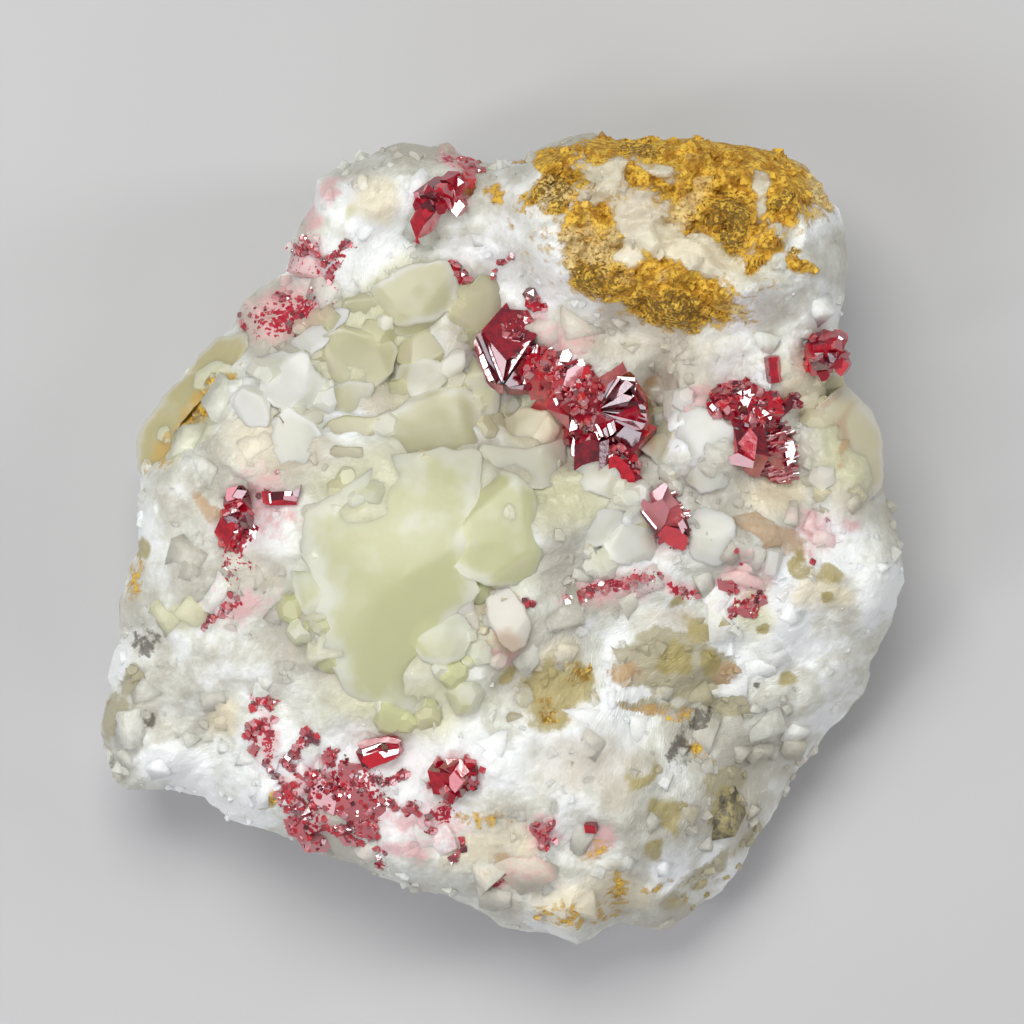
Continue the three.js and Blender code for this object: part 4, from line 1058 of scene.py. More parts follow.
def small_cuts(places, sizes, seed, form="grain", stretch=(1, 1, 1), heading=None, sunk=0.0):
    """The same cut crystal at every place: half size between the two sizes, mostly small, turned any way;
    or lying along a heading, with only a small swing, when there is one; sunk by a share of its half size.
    Also gives each face a brightness and paleness."""
    corners, faces = cut_crystal(form, np.array(stretch, float), np.eye(3))
    count = len(places)
    size, a, b, c, own, pale = number_rows(count, seed, 6)
    swing = 2 * math.pi * a if heading is None else math.radians(heading) + SWING * (a - 0.5)
    fall = math.pi * b if heading is None else math.pi / 2 + TIP * (b - 0.5)
    half = sizes[0] + (sizes[1] - sizes[0]) * size**MOSTLY_SMALL
    shape = corners[None] * half[:, None, None]
    places = places - np.outer(sunk * half, (0, 0, 1))
    points = np.einsum("nij,nkj->nki", turns(swing, fall, 2 * math.pi * c), shape) + places[:, None]
    starts = np.arange(count)[:, None] * len(corners)
    tone = [np.clip(own + 0.5 * (cell_number(np.arange(count), np.full(count, k), seed + 9) - 0.5), 0, 1)
            for k in range(len(faces))]
    haze = np.tile(np.clip(3.2 * pale - 2.3, 0, 0.9), len(faces))
    return points.reshape(-1, 3), [starts + f for f in faces], np.concatenate(tone), haze


print("corners of a small cut grain:", len(cut_crystal("grain", np.ones(3), np.eye(3))[0]))

# %% [markdown]
# ## Calcite crystals
# Calcite is glassy, with milky veils inside. Light passes through it and comes back from the veils. Clear
# glass with a cloud inside would be truest and slow, so the finish is partly see-through and partly
# scattering. Its large crystals lie in the vug, in the pale yellow middle and on the right shoulder.

# %% Finish of calcite
CALCITE_STAINS = [
    # stain, where it is full, colour
    ("pink", 1.3, (0.76, 0.50, 0.46)),
    ("rust_beige", 1.3, (0.60, 0.40, 0.24)),
    ("crust", 0.5, (0.74, 0.47, 0.09)),
]


def calcite_finish(name, shade, clear, scatter_mm=2.0):
    """Partly see-through, partly scattering, with faint growth hills; a crystal's own tone makes it milkier
    or more beige than the next."""
    material, tree, shader, place = new_finish(name)
    veil = speckle(tree, place, 0.35, 2, 0.55)
    milky = tuple(min(0.9, c * 0.5 + 0.42) for c in shade)
    own = grown(tree, noted(tree, "tone"), sums(tree, "SUBTRACT", veil, 0.25), 0.7)
    colour = tint(tree, band(tree, own, 0.3, 0.65), (0.62, 0.57, 0.39), shade)
    colour = tint(tree, band(tree, own, 0.75, 1.1), colour, milky)
    for kind, full, over in CALCITE_STAINS:
        colour = tint(tree, band(tree, noted(tree, kind), 0.23 * full, full, 0, 0.75), colour, over)
    shader.subsurface_method = "BURLEY"
    feed(tree, shader, {
        "Base Color": colour, "Roughness": 0.4, "Transmission Weight": clear, "Subsurface Weight": 0.7,
        "Subsurface Radius": (1.0, 0.98, 0.75), "Subsurface Scale": scatter_mm * MM, "IOR": 1.6,
        "Normal": relief(tree, speckle(tree, place, 0.7, 1.5), 0.04),
    })
    return material


CALCITE_LOOKS = {
    "yellow": calcite_finish("calcite_yellow", (0.59, 0.60, 0.33), 0.12),
    "milky": calcite_finish("calcite_milky", (0.70, 0.70, 0.60), 0.15, 1.5),
    "clear": calcite_finish("calcite_clear", (0.60, 0.58, 0.36), 0.2),
    "honey": calcite_finish("calcite_honey", (0.72, 0.67, 0.45), 0.15),
    "olive": calcite_finish("calcite_olive", (0.60, 0.54, 0.27), 0.15),
    "cream": calcite_finish("calcite_cream", (0.78, 0.70, 0.50), 0.2, 1.5),
}
print("calcite finishes:", len(CALCITE_LOOKS))

# %% [markdown]
# ## Where the calcite blocks lie
# Seen from above, each large crystal is a rough polygon, and its neighbours leave it only that much room.
# Boxes cut by planes would miss those outlines, so every block is listed by its corners and by how its top
# leans: a few numbers for each.

# %% Outlines of the calcite blocks
BLOCKS = {
    # solid: its worn blocks: lift over the bed, tilt and heading of the top, milkiness, corners in mm
    "calcite_vug_group": [
        (1.3, 8, 100, 0.62, [(-11.3, 20.6), (-11.1, 22.3), (-9.9, 23.1), (-7.9, 24.1), (-5.2, 24.3),
            (-4.1, 22.4), (-4.3, 20.8), (-6.2, 19.5), (-8.9, 19.2), (-10.4, 19.9)]),
        (0.8, 26, 290, 0.5, [(-8.9, 19.5), (-6.2, 19.9), (-4.2, 21.1), (-4.3, 20.2), (-5.2, 19.5),
            (-6.9, 18.2), (-8.2, 18.1), (-9.6, 18.7)]),
        (1.75, 6, 110, 1, [(-10.7, 19.5), (-10.1, 19.7), (-9.6, 19.4), (-9.6, 18.6), (-10.2, 18.4),
            (-10.7, 18.8)]),
        (1.05, 8, 230, 0.42, [(-16.8, 16.2), (-15, 17.9), (-13.6, 18.6), (-10.6, 18.4), (-9.6, 17),
            (-9.8, 15), (-11.3, 13.6), (-13.3, 13.7), (-15.3, 14.6)]),
        (0.45, 10, 250, 0.35, [(-13.8, 21.2), (-11.6, 21.9), (-11, 20.4), (-11, 18.4), (-13.6, 18.5),
            (-14.1, 19.7)]),
        (0.75, 10, 250, 0.72, [(-14.6, 13.3), (-13.3, 13.8), (-11.5, 13.6), (-11.7, 11.9), (-12.6, 10.7),
            (-14.5, 11.4), (-15, 12)]),
        (1.05, 12, 200, 0.85, [(-8.7, 15.3), (-6.9, 15.8), (-5.2, 15.3), (-4.9, 14.1), (-6.8, 12.7),
            (-7.9, 12.5), (-9.2, 13.9)]),
        (0.8, 14, 60, 0.25, [(-8.7, 17.3), (-6.9, 18.2), (-5.2, 18.2), (-4.4, 17), (-5.4, 15.8),
            (-7.7, 15.5), (-9.1, 15.8)]),
        (1.6, 10, 120, 1, [(-5, 15.8), (-4.1, 16.9), (-3.3, 16.6), (-3.4, 15.3), (-4.5, 14.1), (-5.2, 14.8)]),
        (0.85, 18, 200, 0.7, [(-2.7, 16.5), (-1.8, 15.5), (-1.2, 13.6), (-0.2, 12.9), (-0.5, 11.5),
            (-1.8, 11), (-3.1, 12.9), (-3.3, 14.7)]),
        (1, 10, 60, 0.3, [(-4, 21.2), (-1.9, 23.2), (0, 23.8), (0.1, 20.4), (-2, 18.3), (-3.8, 18.5),
            (-4.2, 19.4)]),
        (1.25, 8, 110, 0.62, [(-10.5, 10.2), (-7.7, 12.1), (-5.8, 13), (-3.3, 13), (-2.6, 11.9), (-1.5, 9.6),
            (-2, 7.7), (-3.8, 6.6), (-10.3, 6.6), (-11.2, 8)]),
        (0.6, 10, 250, 0.28, [(-15.4, 9.7), (-14.2, 10.8), (-11, 10.5), (-10.2, 10.2), (-10.9, 7.9),
            (-14.5, 7.9), (-15.8, 8.7)]),
        (0.65, 15, 260, 0.12, [(-14.7, 8.1), (-10.8, 8.1), (-11.2, 7.1), (-14, 6.4), (-15.8, 6.9)]),
        (0.5, 12, 300, 0.1, [(-1.6, 10.6), (-0.1, 11.1), (1, 9.7), (-0.1, 8.3), (-1.3, 8.3)]),
    ],
    "calcite_left_block": [
        (1.05, 12, 120, 1, [(-18.1, 17.7), (-16.5, 18.9), (-15, 20.2), (-13.7, 20), (-13.9, 19.1),
            (-14.8, 18.5), (-15.7, 17.2), (-16.8, 16.2), (-18, 16.7)]),
        (1.05, 10, 100, 0.95, [(-21.1, 15.7), (-19.5, 16.5), (-17.2, 16.2), (-16.6, 15), (-15.8, 13.6),
            (-16.5, 12.1), (-18.4, 11.4), (-19.9, 11.9), (-21.1, 13.6)]),
        (0.7, 8, 170, 0.6, [(-21.1, 9.7), (-18.7, 11.3), (-17.2, 10.5), (-15.6, 8.7), (-15, 7.8), (-17, 5.7),
            (-20.1, 6.1), (-21.9, 7.5)]),
        (0.6, 10, 200, 0.85, [(-23.1, 13), (-21.4, 13.7), (-20.2, 12), (-20.5, 10), (-22.4, 10.2),
            (-23.5, 11.6)]),
    ],
    "calcite_yellow_group": [
        (0.8, 8, 100, 0.8, [(-7, -6.8), (-3.5, -6.3), (-2.7, -7.9), (-3.5, -10.2), (-5.8, -10.6),
            (-6.9, -10.4), (-7.7, -8.4)]),
        (1, 6, 60, 0.6, [(-2.7, 3.7), (-1.4, 5.7), (1.3, 5.2), (2.6, 3.3), (3.3, 0.4), (2.9, -2.3),
            (1.7, -3.6), (-1.1, -3.4), (-3.1, -2.7), (-3.9, -2), (-3.7, 0.4)]),
        (0.8, 10, 160, 0.95, [(-18.7, 2.7), (-15, 3.3), (-12.5, 2.3), (-16.2, 1.6)]),
        (1.05, 8, 80, 0.95, [(-1.3, 8.3), (1.1, 7.8), (3.3, 8.1), (5.3, 8.8), (5.4, 5), (2.6, 4.8),
            (-0.3, 5), (-2.2, 6)]),
        (0.7, 10, 120, 0.8, [(-18, -1.8), (-16.5, -1.1), (-14.7, -4.6), (-14.9, -7.2), (-17.2, -6.2),
            (-18.2, -3.9)]),
    ],
    "calcite_ring_block": [
        (0.75, 10, 260, 0.2, [(-0.4, 9.7), (1.7, 11.4), (4, 11.1), (5.5, 9.7), (4.9, 8.2), (2.6, 7.7),
            (0.4, 8.2)]),
        (1, 12, 200, 0.5, [(1.9, 10.5), (3.9, 10.9), (5.1, 9.9), (4.5, 8.6), (2.6, 8.3)]),
    ],
    "calcite_jagged_group": [
        (0.55, 10, 100, 0.7, [(5.7, 3.7), (7.8, 4.6), (9.8, 3.5), (10.6, 1.8), (9.2, -0.2), (7, -0.4),
            (5.7, 1.4)]),
        (0.55, 14, 60, 0.8, [(9.8, 1.8), (11.5, 2.6), (13.1, 0.9), (13.6, -1.1), (11.9, -2.3), (10.3, -1.8),
            (9.1, -0.2)]),
        (0.5, 8, 200, 0.4, [(5.7, 6.2), (8.7, 6.9), (10.6, 5.3), (10.1, 3.5), (7.8, 4.4), (5.7, 3.7)]),
    ],
    "calcite_right_block": [
        (0.75, 6, 110, 0.85, [(15.7, 10.7), (16.7, 11.4), (18.7, 11), (19.7, 9.8), (21.1, 9.5), (20.2, 7.4),
            (20.3, 6.9), (18.5, 6.8), (16.1, 6.7), (15.5, 8)]),
        (0.8, 10, 240, 0.3, [(12.2, 8.2), (13.1, 9.1), (14.4, 9.2), (15, 8), (15.8, 6.7), (14.2, 6.3)]),
        (0.6, 8, 200, 0.6, [(16.6, 6.9), (20, 6.9), (19.6, 4.8), (17.5, 4.2), (16.1, 5.3)]),
    ],
    "calcite_white_block": [
        (0.35, 8, 110, 0.7, [(16.3, 1.8), (18, 2.8), (20.1, 1.8), (20.7, -0.4), (18.9, -2), (16.6, -1.4)]),
    ],
    "calcite_left_slab": [
        (0.8, 20, 150, 0.6, [(-26.8, 16.5), (-25.4, 18), (-23, 18.2), (-22.3, 16.5), (-25, 14),
            (-27.8, 14.4)]),
        (0.8, 24, 165, 0.6, [(-32.1, 6.3), (-32.2, 9.5), (-30.2, 12.7), (-27.7, 14.6), (-25, 14),
            (-28.2, 10.9), (-29.6, 6.7)]),
    ],
    "calcite_right_mass": [
        (0.9, 12, 20, 0.6, [(28.2, 11.4), (30.7, 13.2), (32.7, 11.3), (33.8, 8.8), (33.5, 5.1), (31.8, 3.3),
            (29.8, 5.1), (28.7, 7.9)]),
        (0.9, 14, 80, 0.55, [(27.4, 13), (28.6, 14.8), (30.4, 14.6), (30.9, 13.2), (28.4, 11.4)]),
    ],
    "calcite_blade_cream": [
        (1.3, 14, 110, 1, [(-1.1, -4.6), (0.6, -4.3), (1.7, -5.5), (2.4, -7), (2, -8.9), (1, -9.4),
            (-0.1, -8.9), (-0.9, -6.8)]),
    ],
    "calcite_blade_pair": [
        (1.1, 14, 150, 1, [(-4.2, -5.1), (-3.6, -3.8), (-2.6, -4.6), (-2.4, -6), (-3.3, -6.5), (-4.2, -6)]),
        (0.9, 20, 250, 0.9, [(-3.3, -6.3), (-2.4, -6), (-2, -7.4), (-2.7, -7.9)]),
    ],
}
YELLOW_MASS = (
    # the large pale yellow crystal: its corners, and its faces: x, y, lift, tilt, heading, milkiness
    [
        (-16.3, 1.8), (-13.1, 3.5), (-9.6, 6.1), (-6.2, 6.6), (-2.5, 6.6), (-2.6, 3.5), (-3.5, 0.4),
        (-3.3, -2.6), (-2.6, -4.4), (-5.2, -6.6), (-5.4, -9.7), (-5.3, -13.4), (-8.9, -14.1), (-12.4, -13.6),
        (-13.7, -10.4), (-15.2, -9), (-15.5, -7), (-14.9, -4.6), (-16.5, -1.4),
    ],
    [
        (-10.2, -0.7, 0.75, 5, 120, 0.62),
        (-7.6, 3.8, 0.75, 8, 95, 0.5),
        (-12.6, -8.1, 0.65, 7, 240, 0.5),
        (-6.4, -5.3, 0.65, 8, 300, 0.5),
        (-8.9, -12, 0.6, 7, 262, 0.85),
        (-13.9, -1.2, 0.7, 8, 190, 0.7),
    ],
)
print("worn blocks:", {node: len(rows) for node, rows in BLOCKS.items()})

# %% [markdown]
# ## A worn block
# Water has worn these crystals, so no edge is sharp: their tops are a few leaning faces that run into each
# other and the rim rolls over. A box with a Bevel modifier would be worn evenly, like soap. Here the
# outline's corners are worn first, the top is the soft minimum of its faces, and the rim goes down in a
# quarter circle.

# %% Worn block of calcite
def wrapped_mean(line, passes):
    """A closed line worn by passes: half of each point and a quarter of each neighbour."""
    for _ in range(passes):
        line = 0.5 * line + 0.25 * np.roll(line, 1, axis=0) + 0.25 * np.roll(line, -1, axis=0)
    return line


def chips(middle, reach, top, seed):
    """Three more faces of 24 to 40 degrees, each starting where the top has gone 0.6 of the reach towards
    it."""
    lift, tilt, heading, own = top
    rows = []
    for lean, way, darker in number_rows(3, seed, 3).T:
        way = 2 * math.pi * way
        place = 0.6 * reach * np.array([math.cos(way), math.sin(way)])
        run = place @ (math.cos(math.radians(heading)), math.sin(math.radians(heading)))
        level = lift - math.tan(math.radians(tilt)) * run
        rows.append((*(middle + place), level, 24 + 16 * lean, math.degrees(way), own - 0.3 * darker))
    return rows


SIDE_STEPS, ROLL_RINGS, TOP_RINGS = 8, 5, 12  # points on each side, rings on the rolled rim, rings on the top
OVERHANG = 1.14  # a block grows over its listed outline
RAGGED = 0.2  # mm by which its outline strays
EDGE_WEAR = 0.05  # mm over which two faces of the top run into each other


def worn_block(corners, tops, seed, hug=0.5, hills=0.07, depth=2.6, rounding=0.2):
    """Points, faces and milkiness of a crystal. Its outline is the polygon with its corners worn; its top
    is the least of leaning planes, z = lift - tan(tilt) * way along the heading, with worn edges (-w log
    sum exp(-z / w)); a crystal is cloudier towards its borders, and the rim rolls over in a quarter circle:
    in = r (1 - cos a), down = r (1 - sin a), a from 0 to 90 degrees. With hug, the top follows by that
    share the bed's smooth form, the second-degree surface nearest to it."""
    flat = anticlockwise(corners)
    ahead = np.roll(flat, -1, axis=0) - flat
    steps = (np.arange(SIDE_STEPS) / SIDE_STEPS)[None, :, None]
    outline = wrapped_mean((flat[:, None] + ahead[:, None] * steps).reshape(-1, 2), 2)
    middle = outline.mean(0)
    arm = OVERHANG * (outline - middle)
    reach = np.hypot(arm[:, 0], arm[:, 1])[:, None]
    arm = arm * (1 + RAGGED * rough_drift(outline[:, 0], outline[:, 1], 1.1, 281, 3)[:, None] / reach)
    if len(tops) == 1:
        tops = [(*middle, *tops[0])] + chips(middle, float(reach.mean()), tops[0], seed)
    roll = np.radians(np.linspace(0, 90, ROLL_RINGS))
    rolled = 1 - rounding * (1 - np.cos(roll[None])) / reach
    inner = np.linspace(1, 0, TOP_RINGS + 2)[1:-1][None] * rolled[:, -1:]
    share = np.concatenate([np.full((len(arm), 1), 1.0), rolled, inner], 1)
    down = np.concatenate([[depth], rounding * (1 - np.sin(roll)), np.zeros(TOP_RINGS)])
    spots = middle + arm[:, None] * share[..., None]
    x, y, lift, tilt, heading, own = np.array(tops, float).T[:, :, None, None]
    way = np.radians(heading)
    run = (spots[..., 0] - x) * np.cos(way) + (spots[..., 1] - y) * np.sin(way)
    planes = lift - np.tan(np.radians(tilt)) * run
    weight = np.exp(-planes / EDGE_WEAR)
    u, v = (spots - middle)[..., 0], (spots - middle)[..., 1]
    terms = np.stack([np.ones_like(u), u, v, u * u, u * v, v * v], -1)
    rock = bed_height(spots[..., 0], spots[..., 1])
    fitted = terms @ np.linalg.lstsq(terms.reshape(-1, 6), rock.ravel(), rcond=None)[0]
    bed = float(bed_height(*middle))
    bed = bed + hug * (fitted - bed)
    z = bed - EDGE_WEAR * np.log(weight.sum(0)) - down
    z = z + hills * rough_drift(spots[..., 0], spots[..., 1], 2.6, 291, 2)
    tone = (weight * own).sum(0) / weight.sum(0) + 0.5 * np.clip((share - 0.6) / 0.4, 0, 1) ** 2
    count, rings = share.shape
    points = np.concatenate([np.concatenate([spots, z[..., None]], -1).reshape(-1, 3),
                             [[*middle, float(z[:, -1].mean())]]])
    start = np.arange(count)[:, None] * rings
    k = np.arange(rings - 1)[None]
    beside = np.roll(start, -1, axis=0)
    quads = np.stack([start + k, beside + k, beside + k + 1, start + k + 1], -1).reshape(-1, 4)
    tip = np.stack([start[:, 0] + rings - 1, beside[:, 0] + rings - 1, np.full(count, count * rings)], 1)
    return points, [quads, tip, start[::-1, 0][None]], np.append(tone.ravel(), tone[:, -1].mean())


print("points of a worn block:", len(worn_block(*YELLOW_MASS, 0)[0]))

# %% [markdown]
# ## Calcite pieces
# Each calcite solid becomes one mesh: its worn blocks, the small crystals that fill the gaps between them
# and, on some, a bladed tooth. Separate meshes would leave dozens of loose pieces for one thing that breaks
# out whole. The small ones are left out where a block lies, because a sharp corner that pokes through a
# worn face reads as a fault.

# %% Calcite pieces
CALCITE = {
    # solid: finish, and its blades: form, x, y, lift, half sizes, heading, tilt, spin, milkiness
    "calcite_vug_group": ("clear", []),
    "calcite_left_block": ("milky", []),
    "calcite_yellow_group": ("yellow", []),
    "calcite_ring_block": ("cream", []),
    "calcite_jagged_group": ("milky", []),
    "calcite_right_block": ("milky", []),
    "calcite_white_block": ("milky", []),
    "calcite_left_slab": ("olive", []),
    "calcite_right_mass": ("honey", []),
    "calcite_blade_cream": ("cream", [("blunt", 0.6, -7.6, 0.4, 0.9, 0.7, 2.1, 298, 82, 0, 1)]),
    "calcite_blade_pair": ("cream", [("prism", -1.9, -6.3, 0.7, 0.6, 0.6, 1.7, 292, 82, 10, 0.9)]),
    "calcite_tooth": ("milky", [("prism", 7.1, -2.7, 0.4, 0.8, 0.7, 1.8, 98, 78, 0, 1)]),
    "calcite_tooth_right": ("milky", [("prism", 23.8, -1.8, 0.4, 0.75, 0.7, 1.1, 80, 70, 0, 1)]),
}
SMALL_CALCITES = {
    # solid: more small crystals: middle, half sizes, turn, height over the bed, how many, half sizes
    "calcite_vug_group": [(-9.5, 15, 11, 7.5, 20, -0.3, 60, 0.8, 1.9), (-1, 15, 3, 6, 0, 0, 20, 0.6, 1.5)],
    "calcite_left_block": [(-19, 11, 4.5, 4.5, 0, -0.1, 26, 0.6, 1.6)],
    "calcite_yellow_group": [
        (2, 6.6, 4, 1.4, 0, -0.2, 6, 0.6, 1.3),
        (-8.5, -4.5, 9.6, 11.5, 0, 0, 60, 0.6, 1.7),
    ],
    "calcite_jagged_group": [(8.6, 1.6, 4, 4, 0, 0, 36, 0.5, 1.4)],
    "calcite_right_block": [(15.6, 8.6, 2.6, 4, 0, 0, 18, 0.5, 1.2)],
    "calcite_right_mass": [(29.5, 7.5, 3, 5.5, 0, -0.1, 22, 0.6, 1.5)],
    "calcite_blade_pair": [(-1.2, -6.2, 2, 1.8, 0, 0.1, 12, 0.3, 0.8)],
}


def ellipse_places(x, y, rx, ry, turn, count, seed):
    """Places in an ellipse: sqrt(s) of its half sizes out, t of a turn round."""
    s, t = number_rows(count, seed, 2)
    u, v = rx * np.sqrt(s) * np.cos(2 * math.pi * t), ry * np.sqrt(s) * np.sin(2 * math.pi * t)
    a = math.radians(turn)
    return x + u * math.cos(a) - v * math.sin(a), y + u * math.sin(a) + v * math.cos(a)


DRAWN_IN = 0.84  # small crystals may stand that far in over a block's outline


def beside_blocks(x, y, outlines):
    """True where a place is in none of the outlines, which are drawn in. A place is inside if a line from
    it to the right crosses the outline an odd number of times."""
    free = np.ones(len(x), bool)
    for outline in outlines:
        outline = np.array(outline, float)
        ax, ay = (DRAWN_IN * outline + (1 - DRAWN_IN) * outline.mean(0)).T
        bx, by = np.roll(ax, -1), np.roll(ay, -1)
        spans = (ay > y[:, None]) != (by > y[:, None])
        cross = ax + (y[:, None] - ay) / np.where(by == ay, 1, by - ay) * (bx - ax)
        free &= (spans & (cross > x[:, None])).sum(1) % 2 == 0
    return free


def small_calcites(rows, outlines):
    """Cut crystals over the rows' ellipses as parts, with their milkiness, where no block lies."""
    parts = []
    for k, (x, y, rx, ry, turn, lift, count, least, most) in enumerate(rows):
        px, py = ellipse_places(x, y, rx, ry, turn, count, 820 + k)
        free = beside_blocks(px, py, outlines)
        px, py, count = px[free], py[free], int(free.sum())
        places = np.column_stack([px, py, bed_height(px, py) + lift])
        points, faces = small_cuts(places, (least, most), 840 + k, "cobble", (1, 0.9, 1.1), sunk=0.62)[:2]
        milky = 0.1 + 0.9 * number_rows(count, 860 + k, 1)[0]
        parts.append((points, faces, np.repeat(milky, len(points) // count)))
    return parts


LIFT_SHARE, LIFT_LESS = 0.75, 0.1  # blocks stand a little lower over the bed than listed


def listed_blocks(node):
    """The worn blocks of one solid: their lift is share * lift - less."""
    blocks = []
    for k, (lift, *top, corners) in enumerate(BLOCKS.get(node, ())):
        blocks.append(worn_block(corners, [(LIFT_SHARE * lift - LIFT_LESS, *top)], 23 * k))
    return blocks


for node, (look, blades) in CALCITE.items():
    blocks = listed_blocks(node)
    if node == "calcite_yellow_group":
        blocks.append(worn_block(*YELLOW_MASS, 0, hug=0.85, hills=0.02))
    cut = [(*cut_row(*row[:10]), row[10]) for row in blades]
    parts = blocks + [(points, faces, np.full(len(points), own)) for points, faces, own in cut]
    outlines = [row[4] for row in BLOCKS.get(node, ())] + [YELLOW_MASS[0]]
    parts += small_calcites(SMALL_CALCITES.get(node, ()), outlines)
    points, faces = joined([part[:2] for part in parts])
    piece = put_mesh(node.replace("calcite_", "calcite_grown_"), points, faces)
    note_stains(piece, points[:, 0], points[:, 1])
    note(piece, tone=np.concatenate([part[2] for part in parts]))
    smooth_faces = sum(len(f) for part in blocks for f in part[1])
    piece.data.polygons.foreach_set("use_smooth", np.arange(len(piece.data.polygons)) < smooth_faces)
    seat(piece, "calcite", CALCITE_LOOKS[look], node)
print("calcite pieces:", len(CALCITE), "blades:", sum(len(rows) for _, rows in CALCITE.values()))

# %% [markdown]
# ## Cinnabar crystals
# Cinnabar bends light more than diamond does, so its faces flash white or pink although the crystal is blood
# red. Only its thinnest edges let light through, so the finish is an opaque red under a very bright lustre
# instead of a tinted glass. Every face has its own depth of red and paleness, and fine hills break up its
# mirror images. On the flakes, depth and paleness are partly painted light: pale faces are painted sheen and
# glints, dark faces painted shade.

# %% Finish of cinnabar
def cinnabar_finish():
    """Deep red with adamantine lustre: every face has its own brightness and paleness, with fine hills. On
    the flakes these are partly painted light: pale is painted sheen, dark is painted shade.
    """
    material, tree, shader, place = new_finish("cinnabar_finish")
    mottle = speckle(tree, place, 1.6, 2, 0.6)
    own = grown(tree, noted(tree, "tone"), sums(tree, "SUBTRACT", mottle, 0.5), 1.1)
    colour = tint(tree, band(tree, own, 0.0, 0.55), (0.10, 0.002, 0.012), (0.36, 0.004, 0.022))
    colour = tint(tree, band(tree, own, 0.5, 1.0), colour, (0.66, 0.012, 0.03))
    # Paleness: pale pink grains, and on the flakes a painted sheen.
    colour = tint(tree, noted(tree, "haze"), colour, (0.72, 0.36, 0.38))
    bumps = relief(tree, mottle, 0.012)
    feed(tree, shader, {"Base Color": colour, "Roughness": 0.12, "IOR": 2.7, "Normal": bumps})
    return material


red_look = cinnabar_finish()
print("cinnabar finish nodes:", len(red_look.node_tree.nodes))

# %% [markdown]
# ## Faces that flash
# The eye knows cinnabar by its flashes, and they come from where its faces lie and lean. The large twin has a
# hilly upper face and clean lower ones, with striations that fan out from its lowest corner, which a random
# crop of crystals never gives. So the faces that matter are listed one by one, as flakes: each has its
# corners, its height and either a lean in degrees or the panel that it mirrors.

